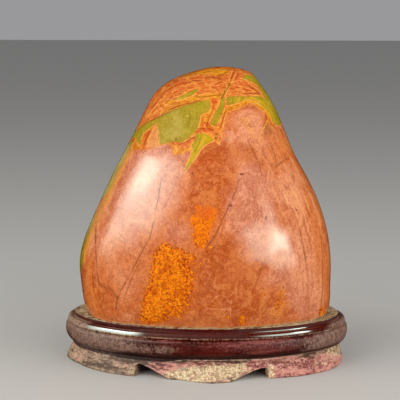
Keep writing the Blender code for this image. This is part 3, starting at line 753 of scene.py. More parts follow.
def natural_spline(knots, values):
    """A smooth function through the values at the knots."""
    step = np.diff(knots)
    slope = np.diff(values) / step
    size = len(knots)
    system = np.eye(size)
    right_side = np.zeros(size)
    for i in range(1, size - 1):
        system[i, i - 1 : i + 2] = step[i - 1], 2.0 * (step[i - 1] + step[i]), step[i]
        right_side[i] = 6.0 * (slope[i] - slope[i - 1])
    bend = np.linalg.solve(system, right_side)

    def at(position):
        i = np.clip(np.searchsorted(knots, position) - 1, 0, size - 2)
        to_next = knots[i + 1] - position
        past = position - knots[i]
        cubic = (bend[i] * to_next**3 + bend[i + 1] * past**3) / (6.0 * step[i])
        start = (values[i] / step[i] - bend[i] * step[i] / 6.0) * to_next
        end = (values[i + 1] / step[i] - bend[i + 1] * step[i] / 6.0) * past
        return cubic + start + end

    return at


class StoneShape:
    """The stone's surface from its sections."""

    def __init__(self):
        heights, left, right, front, back = (np.array(row) * MM for row in zip(*STONE_SECTIONS))
        depths = np.sqrt(heights[0] - heights)
        knots = np.concatenate([-depths[:0:-1], depths])
        self.top = heights[0]
        self.deepest = depths[-1]
        self.across = natural_spline(knots, np.concatenate([left[:0:-1], right]))
        self.along = natural_spline(knots, np.concatenate([front[:0:-1], back]))

    def points(self, depth, azimuth, inset=0.0):
        """Places on the surface, by the square root of the depth under the top and by azimuth."""
        height = self.top - depth * depth
        body_share = smoothstep(SQUARE_FROM, SQUARE_TO, height)
        body_squareness = SQUARENESS_BODY + SQUARENESS_SKEW * np.sin(2.0 * azimuth)
        squareness = SQUARENESS_TOP + (body_squareness - SQUARENESS_TOP) * body_share
        corner = 2.0 ** (0.5 - 1.0 / squareness) - 1.0
        fullness = 1.0 + corner * np.sin(2.0 * azimuth) ** 2
        half_x = (self.across(depth) - self.across(-depth)) / 2.0 - inset
        half_y = (self.along(depth) - self.along(-depth)) / 2.0 - inset
        x = (self.across(depth) + self.across(-depth)) / 2.0 + half_x * np.cos(azimuth) * fullness
        y = (self.along(depth) + self.along(-depth)) / 2.0 + half_y * np.sin(azimuth) * fullness
        return np.stack([x, y, height + 0.0 * azimuth], axis=-1)

    def ring_depths(self, rings):
        """Depths that space the rings evenly along the surface, closer near the top."""
        depth = np.linspace(0.0, self.deepest, DEPTH_STEPS)
        steps = [
            np.linalg.norm(np.diff(self.points(depth, np.full_like(depth, azimuth)), axis=0), axis=1)
            for azimuth in np.radians(MEASURED_SIDES)
        ]
        height = self.top - depth[1:] ** 2
        weight = 1.0 + TOP_CROWDING * smoothstep(CROWDED_FROM, CROWDED_TO, height)
        length = np.concatenate([[0.0], np.cumsum(np.mean(steps, axis=0) * weight)])
        return np.interp(np.linspace(0.0, length[-1], rings + 1), length, depth)


def unevenness(points):
    """The gentle waves that hand grinding leaves, in metres; none at the tip and at the foot."""
    x, y, z = points.T
    waves = np.sin(61.0 * x + 23.0 * z + 0.6) * np.sin(47.0 * z - 31.0 * x + 1.1)
    waves = waves + 0.6 * np.sin(118.0 * x + 74.0 * y + 0.3) * np.sin(97.0 * z + 38.0 * y + 2.0)
    waves = waves + 0.35 * np.sin(211.0 * z + 83.0 * x) * np.sin(173.0 * x + 60.0 * y + 0.5)
    return GRINDING_WAVES * waves * smoothstep(0.228, 0.214, z) * smoothstep(0.036, 0.046, z)


def take_mesh(cage, name):
    mesh = bpy.data.meshes.new(name)
    cage.to_mesh(mesh)
    cage.free()
    return mesh


def move_vertices(mesh, places):
    mesh.vertices.foreach_set("co", places.ravel())
    mesh.update()


def stone_mesh(name, segments, rings, grown=0.0):
    """A closed mesh of the stone, grown outwards a little where it cuts the seat."""
    shape = StoneShape()
    cage = bmesh.new()
    bmesh.ops.create_uvsphere(cage, u_segments=segments, v_segments=rings, radius=1.0)
    mesh = take_mesh(cage, name)
    x, y, z = read_vertices(mesh).T
    ring = np.rint(np.arccos(np.clip(z, -1.0, 1.0)) / math.pi * rings).astype(int)
    azimuth = np.arctan2(y, x)
    azimuth = azimuth - FRONT_CROWDING * np.cos(azimuth)
    side_rings = rings - len(BASE_STEPS) - 1
    depths = shape.ring_depths(side_rings)
    places = shape.points(depths[np.minimum(ring, side_rings)], azimuth)
    for step, (inset, height) in enumerate(BASE_STEPS):
        here = ring == side_rings + 1 + step
        deep = np.full(here.sum(), shape.deepest)
        places[here] = shape.points(deep, azimuth[here], inset * MM)
        places[here, 2] = height * MM
    places[ring == rings] = (0.0, 0.0, STONE_BOTTOM)
    move_vertices(mesh, places)
    outwards = read_vertices(mesh, "normal")
    move_vertices(mesh, places + outwards * (grown + unevenness(places))[:, None])
    mesh.shade_smooth()
    return mesh


def add_piece(name, data):
    piece = bpy.data.objects.new(name, data)
    bpy.context.scene.collection.objects.link(piece)
    return piece


# Stand


def arc(centre, radius, start_degrees, end_degrees, steps):
    angles = np.radians(np.linspace(start_degrees, end_degrees, steps + 1))
    return [(centre[0] + radius * math.cos(a), centre[1] + radius * math.sin(a)) for a in angles]


def flowing(steps, *points):
    """A smooth run through the points."""
    points = np.array(points)
    knots = np.concatenate([[0.0], np.cumsum(np.linalg.norm(np.diff(points, axis=0), axis=1))])
    fine = np.linspace(0.0, knots[-1], steps + 1)
    return list(zip(*(natural_spline(knots, values)(fine) for values in points.T)))


def moulding_profile():
    """The stand's section in millimetres: distance outside the frieze, and height."""
    return [
        # Top and lip
        *((-28.0, STAND_TOP), (-20.0, STAND_TOP), (-14.0, STAND_TOP), (-9.0, STAND_TOP)),
        *arc((-8.0, 37.5), 0.8, 90, 0, 5),
        # Quirk, bead and groove
        *((-7.25, 36.0), (-7.3, 34.9), (-7.1, 34.35), (-6.5, 34.1)),
        *flowing(
            27, (-5.9, 34.4), (-5.2, 35.15), (-4.2, 35.45), (-3.35, 35.3), (-2.75, 34.85), (-2.2, 34.05),
            (-1.75, 33.0), (-1.45, 31.95), (-1.45, 31.3), (-1.85, 30.85), (-2.5, 30.7),
        ),
        *((-2.6, 30.6), (-2.0, 30.35), (-1.5, 30.1)),
        # Frieze and waist
        *flowing(12, (-0.9, 29.7), (-0.3, 28.6), (0.0, 26.6), (0.0, 23.8), (-0.6, 21.0)),
        *flowing(9, (-0.6, 21.0), (-2.2, 18.0), (-4.4, 15.9), (-6.4, 14.7))[1:],
        *((-6.8, 14.3), (-6.8, 13.7), (-6.5, 13.2), (-6.0, 12.9)),
        # Skirt, foot and hollow underside
        *flowing(14, (-5.4, 12.2), (-4.8, 11.0), (-3.1, 8.0), (-1.6, 5.2), (-0.4, 2.8), (0.0, 1.4)),
        *((-0.1, 0.7), (-0.4, 0.3), (-1.0, 0.0), (-5.0, 0.0), (-10.5, 0.0), (-11.0, 3.0), (-11.6, 6.0)),
        *((-12.2, 9.5), (-12.5, HOLLOW_TOP), (-20.0, HOLLOW_TOP), (-28.0, HOLLOW_TOP)),
    ]


def press_to_oval(mesh):
    """Moves the turned stand's vertices to the oval, with their distance from the frieze kept."""
    x, y, z = read_vertices(mesh).T
    radius = np.hypot(x, y)
    azimuth = np.arctan2(y, x)
    azimuth = azimuth + EVENING * np.sin(2.0 * azimuth)
    cosine = np.cos(azimuth)
    sine = np.sin(azimuth)
    offset = np.maximum(radius - TURNING_RADIUS, -MOULDING_DEPTH)
    outer = offset > -(SKIRT_THICKNESS - 1.0) * MM
    # The feet stand out the same on the back as on the front
    on_front = 180.0 + np.abs(np.abs(np.degrees(azimuth)) - 180.0)
    reach = np.interp(on_front, *zip(*FOOT_REACH)) * MM
    below = np.clip(1.0 - z / (SKIRT_EDGE * MM), 0.0, 1.0)
    offset = offset + np.where(outer, reach * below**FOOT_FLARE, 0.0)
    lean = np.interp(cosine, BEAD_LEAN_ENDS, (0.0, BEAD_LEAN))
    above_middle = z - BEAD_MIDDLE
    leaning = np.clip(above_middle, -BEAD_LEAN_LIMIT, BEAD_LEAN_LIMIT) * (np.abs(above_middle) < BEAD_HALF)
    offset = offset + lean * leaning
    normal = np.stack([cosine / STAND_HALF_WIDTH, sine / STAND_HALF_DEPTH], axis=1)
    normal /= np.linalg.norm(normal, axis=1)[:, None]
    oval = np.stack([STAND_HALF_WIDTH * cosine, STAND_HALF_DEPTH * sine], axis=1)
    inner_share = np.minimum(1.0, radius / (TURNING_RADIUS - MOULDING_DEPTH))
    pressed = (oval + normal * offset[:, None]) * inner_share[:, None]
    move_vertices(mesh, np.column_stack([pressed, z]))


def turned_mesh(name):
    cage = bmesh.new()
    profile = [(TURNING_RADIUS + offset * MM, height * MM) for offset, height in moulding_profile()]
    points = [(0.0, STAND_TOP * MM), *profile, (0.0, HOLLOW_TOP * MM)]
    row = [cage.verts.new((radius, 0.0, height)) for radius, height in points]
    line = [cage.edges.new(pair) for pair in zip(row, row[1:])]
    bmesh.ops.spin(
        cage,
        geom=row + line,
        cent=(0.0, 0.0, 0.0),
        axis=(0.0, 0.0, 1.0),
        angle=2.0 * math.pi,
        steps=STAND_SEGMENTS,
        use_merge=True,
    )
    bmesh.ops.remove_doubles(cage, verts=cage.verts, dist=SAME_PLACE)
    bmesh.ops.recalc_face_normals(cage, faces=cage.faces)
    mesh = take_mesh(cage, name)
    press_to_oval(mesh)
    return mesh


def arch_mesh(name, outline, side, turn_degrees):
    """A prism through the skirt on the front (side -1) or the back (side 1)."""
    middle = (outline[0][0] + outline[-1][0]) / 2.0 * MM
    depth = STAND_HALF_DEPTH * math.sqrt(1.0 - (middle / STAND_HALF_WIDTH) ** 2)
    turn = math.radians(turn_degrees * -side)
    cage = bmesh.new()
    corners = [cage.verts.new((x * MM - middle, -ARCH_REACH, z * MM)) for x, z in outline]
    face = cage.faces.new(corners)
    pushed = bmesh.ops.extrude_face_region(cage, geom=[face])["geom"]
    moved = [part for part in pushed if isinstance(part, bmesh.types.BMVert)]
    bmesh.ops.translate(cage, verts=moved, vec=(0.0, 2.0 * ARCH_REACH, 0.0))
    bmesh.ops.recalc_face_normals(cage, faces=cage.faces)
    for vert in cage.verts:
        x, y, z = vert.co
        vert.co.x = x * math.cos(turn) - y * math.sin(turn) + middle
        vert.co.y = x * math.sin(turn) + y * math.cos(turn) + side * depth
    return take_mesh(cage, name)


def cut_away(piece, cutters):
    """Cuts the solids out of the piece and keeps the result as its mesh."""
    for cutter in cutters:
        boolean = piece.modifiers.new(cutter.name, "BOOLEAN")
        boolean.operation = "DIFFERENCE"
        boolean.solver = "EXACT"
        boolean.object = cutter
    graph = bpy.context.evaluated_depsgraph_get()
    cut = bpy.data.meshes.new_from_object(piece.evaluated_get(graph))
    piece.modifiers.clear()
    old = piece.data
    piece.data = cut
    bpy.data.meshes.remove(old)
    for cutter in cutters:
        bpy.data.objects.remove(cutter)


def make_stand():
    stand = add_piece("carved_stand", turned_mesh("carved_stand"))
    cutters = [add_piece("seat", stone_mesh("seat", SEAT_SEGMENTS, SEAT_RINGS, SEAT_GAP))]
    for side in (-1, 1):
        for outline, turn in ((LEFT_ARCH, -ARCH_TURN), (RIGHT_ARCH, ARCH_TURN)):
            cutters.append(add_piece("arch", arch_mesh("arch", outline, side, turn)))
    cut_away(stand, cutters)
    stand.data.shade_smooth()
    stand.data.set_sharp_from_angle(angle=SHARP_EDGE)
    return stand


# Finishes


def paint(red, green, blue):
    """A colour as it looks in a picture, 0 to 255, as a shader colour."""
    shares = [value / 255.0 for value in (red, green, blue)]
    linear = [s / 12.92 if s <= 0.04045 else ((s + 0.055) / 1.055) ** 2.4 for s in shares]
    return (*linear, 1.0)


class Value:
    """A shader socket that takes part in arithmetic."""

    def __init__(self, nodes, socket):
        self.nodes = nodes
        self.socket = socket

    def maths(self, operation, first, second=0.0):
        return self.nodes.node("ShaderNodeMath", {"operation": operation}, {0: first, 1: second})

    def __add__(self, other):
        return self.maths("ADD", self, other)

    def __sub__(self, other):
        return self.maths("SUBTRACT", self, other)

    def __rsub__(self, other):
        return self.maths("SUBTRACT", other, self)

    def __mul__(self, other):
        return self.maths("MULTIPLY", self, other)

    def __truediv__(self, other):
        return self.maths("DIVIDE", self, other)

    def __rtruediv__(self, other):
        return self.maths("DIVIDE", other, self)

    def __abs__(self):
        return self.maths("ABSOLUTE", self)

    __radd__ = __add__
    __rmul__ = __mul__


class Nodes:
    """A tree of shader nodes, built by expressions."""

    def __init__(self, tree):
        self.tree = tree

    def node(self, kind, settings=None, sockets=None, output=0):
        made = self.tree.nodes.new(kind)
        for name, setting in (settings or {}).items():
            setattr(made, name, setting)
        for name, value in (sockets or {}).items():
            if isinstance(value, Value):
                self.tree.links.new(value.socket, made.inputs[name])
            else:
                made.inputs[name].default_value = value
        return Value(self, made.outputs[output])

    def split(self, vector):
        parts = self.node("ShaderNodeSeparateXYZ", None, {0: vector})
        return [Value(self, output) for output in parts.socket.node.outputs]

    def ramp(self, value, low, high):
        """0 below low and 1 above high, and smooth between; low may be above high."""
        sockets = {0: value, 1: low, 2: high}
        return self.node("ShaderNodeMapRange", {"interpolation_type": "SMOOTHSTEP"}, sockets)

    def between(self, value, low, full, fading, high):
        """1 from full to fading, and 0 below low and above high."""
        return self.ramp(value, low, full) * self.ramp(value, high, fading)


class Finish(Nodes):
    """A material built from nodes."""

    def __init__(self, name):
        self.material = bpy.data.materials.new(name)
        self.material.use_nodes = True
        super().__init__(self.material.node_tree)
        self.tree.nodes.clear()
        self.place = self.node("ShaderNodeTexCoord", output="Object")

    def attribute(self, name):
        """The three numbers of an attribute of the piece."""
        return self.split(self.node("ShaderNodeAttribute", {"attribute_name": name}, output="Vector"))

    def joined(self, x, y, z):
        return self.node("ShaderNodeCombineXYZ", None, {0: x, 1: y, 2: z})

    def scaled(self, *scale):
        sockets = {"Vector": self.place, "Scale": scale}
        return self.node("ShaderNodeMapping", {"vector_type": "POINT"}, sockets)

    def noise(self, scale, detail, roughness, vector=None, distortion=0.0):
        """Soft noise from -0.5 to 0.5."""
        sockets = {
            "Vector": vector or self.place,
            "Scale": scale,
            "Detail": detail,
            "Roughness": roughness,
            "Distortion": distortion,
        }
        return self.node("ShaderNodeTexNoise", None, sockets, "Fac") - 0.5

    def cells(self, vector, feature, output):
        sockets = {"Vector": vector, "Scale": 1.0}
        return self.node("ShaderNodeTexVoronoi", {"feature": feature}, sockets, output)

    def mix(self, share, first, second):
        """The first colour, painted over with the second where the share says so."""
        colours = [c if isinstance(c, Value) else paint(*c) for c in (first, second)]
        settings = {"data_type": "RGBA", "blend_type": "MIX", "clamp_factor": True}
        return self.node("ShaderNodeMix", settings, {0: share, 6: colours[0], 7: colours[1]}, 2)

    def layers(self, colour, *rows):
        """Paints the colour over: value, where the paint starts and is full, its amount and colour."""
        for value, start, full, amount, over in rows:
            colour = self.mix(self.ramp(value, start, full) * amount, colour, over)
        return colour

    def bump(self, height, distance):
        sockets = {"Height": height, "Distance": distance, "Strength": BUMP_STRENGTH}
        return self.node("ShaderNodeBump", None, sockets, "Normal")

    def close(self, **sockets):
        """The finished material, from the values of the shader's sockets."""
        named = {name.replace("_", " "): value for name, value in sockets.items()}
        shader = self.node("ShaderNodeBsdfPrincipled", None, named)
        output = self.tree.nodes.new("ShaderNodeOutputMaterial")
        self.tree.links.new(shader.socket, output.inputs["Surface"])
        return self.material


def jasper_finish():
    """Polished brecciated jasper: salmon body, orange speckles, green splinters with golden edges."""
    f = Finish("polished_jasper")
    green_depth, gold_depth, broken_depth = f.attribute("breccia")
    orange, pink, brown = f.attribute("tints")
    pale, warm, streaky = f.attribute("shades")
    red, yellow, dark = f.attribute("glow")
    layer, flow, pits = f.attribute("runs")
    x, y, z = f.split(f.place)
    cloud = f.noise(38.0, 4.0, 0.55)
    patchy = f.noise(130.0, 4.0, 0.6)
    mottle = f.noise(330.0, 4.0, 0.62)
    grain = f.noise(820.0, 3.0, 0.6)
    speck = f.noise(520.0, 4.0, 0.7)
    wander = patchy * 2.0 + mottle * 2.0 + grain * 1.2

    # Body, with soft swirls, thin pale and dark curls, and fine flecks
    swirls = f.noise(62.0, 4.0, 0.62, distortion=1.6)
    curls = f.noise(150.0, 4.0, 0.62, distortion=1.8)
    small_curls = f.noise(340.0, 3.0, 0.6, distortion=1.4)
    softness = f.ramp(pink + pale, 0.2, 0.9)
    gleam = f.mix(softness, (234, 143, 78), (246, 168, 128))
    shade = f.mix(softness, (178, 74, 26), (188, 94, 64))
    thin = f.ramp(abs(small_curls), 0.03, 0.006) * 0.45
    thin_dark = f.ramp(abs(curls), 0.014, 0.003) * 0.45
    body = f.layers(
        f.mix(f.ramp(cloud, -0.15, 0.15), (208, 106, 52), (217, 121, 68)),
        (brown + patchy * 1.1, 0.1, 1.0, 1.0, (190, 84, 28)),
        (pink + patchy * 0.9, 0.1, 1.0, 0.8, (204, 120, 94)),
        (warm + patchy * 0.8, 0.2, 1.0, 0.9, (234, 128, 50)),
        (pale + mottle * 0.9, 0.1, 0.95, 0.85, (240, 156, 108)),
        (yellow + patchy * 0.8, 0.2, 1.0, 0.8, (240, 158, 78)),
        (dark + patchy * 0.6, 0.3, 0.9, 0.8, (166, 92, 46)),
        (red + patchy * 0.6, 0.3, 0.9, 0.8, (222, 98, 52)),
        (swirls, 0.02, 0.16, 0.55, gleam),
        (swirls, -0.02, -0.14, 0.6, shade),
        (curls, 0.03, 0.14, 0.45, gleam),
        (curls, -0.03, -0.16, 0.5, shade),
        (small_curls, 0.03, 0.14, 0.4, gleam),
        (small_curls, -0.03, -0.16, 0.45, shade),
        (patchy + softness * 0.06, -0.04, 0.08, thin, (248, 176, 134)),
        (mottle, -0.06, 0.06, thin_dark, (164, 66, 30)),
        (grain, 0.03, 0.14, 0.26, gleam),
        (grain, -0.03, -0.14, 0.34, shade),
    )

    # Streaks that run down the sides
    streak_place = f.joined(flow * 0.42 + patchy * 2.4 + mottle * 0.7, y * 26.0, z * 26.0)
    fibres = f.noise(1.0, 4.0, 0.62, streak_place, 0.3)
    body = f.layers(
        body,
        (fibres, 0.02, 0.14, streaky * 0.4, (246, 170, 114)),
        (fibres, -0.02, -0.14, streaky * 0.34, (194, 100, 52)),
    )

    # Orange speckles: bright and dark grains, thicker towards the middle of a patch
    grains = {"Vector": f.place, "Scale": 620.0, "Detail": 3.0}
    parts = f.split(f.node("ShaderNodeTexNoise", None, grains, "Color"))
    bright, dull, ragged = (part - 0.5 for part in parts)
    upper = f.ramp(z, 0.100, 0.112)
    sparse = f.ramp(orange, 0.3, 1.3) * 0.1 - 0.015 + mottle * 0.55 + upper * 0.09
    fiery = f.layers(
        f.mix(f.ramp(speck, -0.08, 0.06), (214, 88, 14), (244, 126, 12)),
        (bright, -0.02, 0.09, (1.0 - upper * 0.65) * 0.85, (254, 160, 14)),
        (mottle + patchy * 0.9, 0.0, -0.09, (1.0 - upper) * 0.6, (198, 82, 14)),
        (dull + sparse, -0.01, -0.085, 0.85, (162, 48, 14)),
        (red + speck * 0.8, 0.2, 0.9, 0.7, (226, 100, 40)),
    )
    fill = f.mix(upper, (208, 92, 24), (228, 106, 34))
    thick = orange * 1.2 + patchy * 1.5 + ragged * 1.7 + speck
    torn = orange + (patchy * 1.3 + speck * 0.9) * upper * f.ramp(orange, 0.0, 0.3)
    body = f.layers(
        body,
        (orange + speck * 0.7 + patchy * 0.9, 0.06, 0.75, 0.85, fill),
        (thick, 0.4, 0.6, f.ramp(torn, 0.03, upper * 0.3 + 0.12), fiery),
    )

    # Broken crown: a net of layered cells, red and orange, with thin golden edges
    bed = f.joined(layer * 0.2 + patchy * 0.9 + mottle * 0.3, x * 70.0, y * 50.0)
    small_bed = f.joined(layer * 0.5 + patchy * 1.6 + mottle * 0.6, x * 160.0, y * 110.0)
    cell_edge = f.cells(bed, "DISTANCE_TO_EDGE", "Distance")
    small_edge = f.cells(small_bed, "DISTANCE_TO_EDGE", "Distance")
    cell_tone = f.split(f.cells(bed, "F1", "Color"))[0]
    threads = f.noise(1.0, 3.0, 0.6, f.joined(layer * 0.8 + patchy * 2.0, x * 130.0, y * 90.0))
    crown = f.layers(
        f.mix(cell_tone, (198, 78, 24), (224, 114, 46)),
        (threads, 0.02, 0.1, 0.45, (238, 144, 70)),
        (threads, -0.02, -0.1, 0.5, (188, 70, 24)),
        (red + mottle * 0.8, 0.2, 0.9, 0.8, (214, 82, 34)),
        (yellow + mottle * 1.2 + speck * 0.8, 0.2, 1.0, 0.85, (238, 154, 36)),
        (dark + mottle * 0.6, 0.3, 0.9, 0.8, (148, 78, 28)),
        (cell_edge, 0.08, 0.02, f.ramp(patchy, -0.14, 0.1) * 0.6, (240, 156, 66)),
        (small_edge, 0.14, 0.03, 0.45, (246, 166, 82)),
        (speck, -0.06, -0.16, 0.45, (176, 66, 20)),
        (speck, 0.08, 0.18, 0.32, (248, 162, 72)),
    )

    # Golden areas and the border round the green
    golden = f.layers(
        f.mix(f.ramp(mottle, -0.14, 0.14), (208, 108, 22), (230, 142, 34)),
        (red + mottle * 0.7, 0.25, 0.8, 0.9, (220, 88, 40)),
        (yellow + mottle * 0.9, 0.25, 0.9, 0.8, (240, 166, 34)),
        (dark + mottle * 0.6, 0.3, 0.9, 0.8, (150, 100, 24)),
        (cell_edge, 0.1, 0.02, 0.3, (248, 184, 70)),
        (pale + mottle * 0.6, 0.3, 0.8, 0.85, (238, 158, 92)),
        (small_edge, 0.16, 0.04, 0.35, (190, 88, 26)),
        (speck, -0.06, -0.16, 0.45, (190, 90, 26)),
        (speck, 0.08, 0.18, 0.5, (252, 186, 80)),
    )

    # Green
    leaf = f.layers(
        f.mix(f.ramp(patchy, -0.12, 0.12), (168, 144, 26), (184, 156, 36)),
        (yellow + mottle * 0.8, 0.1, 0.8, 0.8, (208, 168, 16)),
        (pale + patchy * 1.6 + mottle * 0.8, 0.3, 1.0, 0.7, (190, 166, 70)),
        (pale + mottle * 0.8, 1.1, 1.8, 0.8, (222, 200, 124)),
        (dark + mottle * 0.7, 0.2, 0.8, 0.7, (146, 130, 22)),
        (mottle, -0.04, -0.16, 0.5, (146, 124, 24)),
        (speck, 0.04, 0.14, 0.4, (212, 182, 84)),
        (small_curls, 0.05, 0.16, 0.35, (206, 168, 70)),
    )

    # The areas together, and the pale and dark rims of the green
    green = f.ramp(green_depth + wander * 0.22, -0.4, 0.4)
    colour = f.layers(
        body,
        (broken_depth + wander * 0.35, -0.5, 0.5, 1.0, crown),
        (gold_depth + wander * 0.5, -0.5, 0.6, 1.0, golden),
    )
    colour = f.layers(
        f.mix(green, colour, leaf),
        (abs(green_depth + 0.8 + mottle), 1.0, 0.3, f.ramp(patchy, -0.1, 0.06) * 0.6, (244, 170, 62)),
        (abs(green_depth - 0.4), 0.7, 0.1, f.ramp(mottle, -0.06, 0.04) * 0.42, (134, 90, 22)),
    )

    # Lines, pits, and the pale line at the foot
    crack, shallow, vein = f.attribute("crack_side")
    crack_near, shallow_near, vein_near = f.attribute("crack_near")
    gold_line, more_gold, dark_line = f.attribute("gold_line_side")
    gold_near, more_near, dark_near = f.attribute("gold_line_near")
    stalk, stalk_near = (f.attribute(name)[0] for name in ("stalk_side", "stalk_near"))
    shake = mottle * 1.4 + grain * 0.6
    gilded = f.ramp(abs(gold_line + shake), 0.85, 0.2) * gold_near
    gilded = gilded + f.ramp(abs(more_gold + shake), 0.85, 0.2) * more_near
    veined = vein_near * f.ramp(patchy, -0.2, 0.05) * f.ramp(speck, -0.16, 0.06)
    line_colour = f.mix(green, (158, 62, 20), (138, 112, 34))
    crack_line = f.ramp(abs(crack + shake * 0.8), 0.7, 0.15) * crack_near * f.ramp(patchy, -0.12, 0.04)
    shallow_line = f.ramp(abs(shallow + shake), 0.7, 0.2) * shallow_near
    pit = f.ramp(pits + grain * 0.5, 0.3, 0.7)
    colour = f.layers(
        colour,
        (abs(stalk), 1.5, 0.7, stalk_near, (158, 106, 26)),
        (abs(dark_line + shake), 0.9, 0.3, (0.7 - green * 0.1) * dark_near, line_colour),
        (speck, -0.16, 0.1, gilded * 0.75, (250, 178, 84)),
        (abs(vein + shake), 0.8, 0.3, veined * 0.5, (250, 178, 128)),
        (abs(crack + shake), 1.8, 0.5, crack_near * 0.2, (150, 66, 36)),
    )
    colour = f.mix(crack_line * 0.72, colour, (124, 50, 24))
    colour = f.mix(shallow_line * 0.5, colour, (130, 56, 30))
    colour = f.mix(pit * 0.8, colour, (110, 44, 26))
    foot_line = f.ramp(mottle, -0.14, 0.0) * 0.7
    colour = f.layers(colour, (z, 0.0400, 0.0386, foot_line, (222, 178, 122)))

    scuffed = f.ramp(f.noise(900.0, 2.0, 0.6), 0.12, 0.3)
    height = grain * 0.05 - crack_line - shallow_line * 0.4 - pit * 1.5
    return f.close(
        Base_Color=colour,
        Roughness=0.15 + cloud * 0.08 + scuffed * 0.12,
        IOR=1.54,
        Coat_Weight=0.25,
        Coat_Roughness=0.06,
        Normal=f.bump(height, 0.04 * MM),
    )


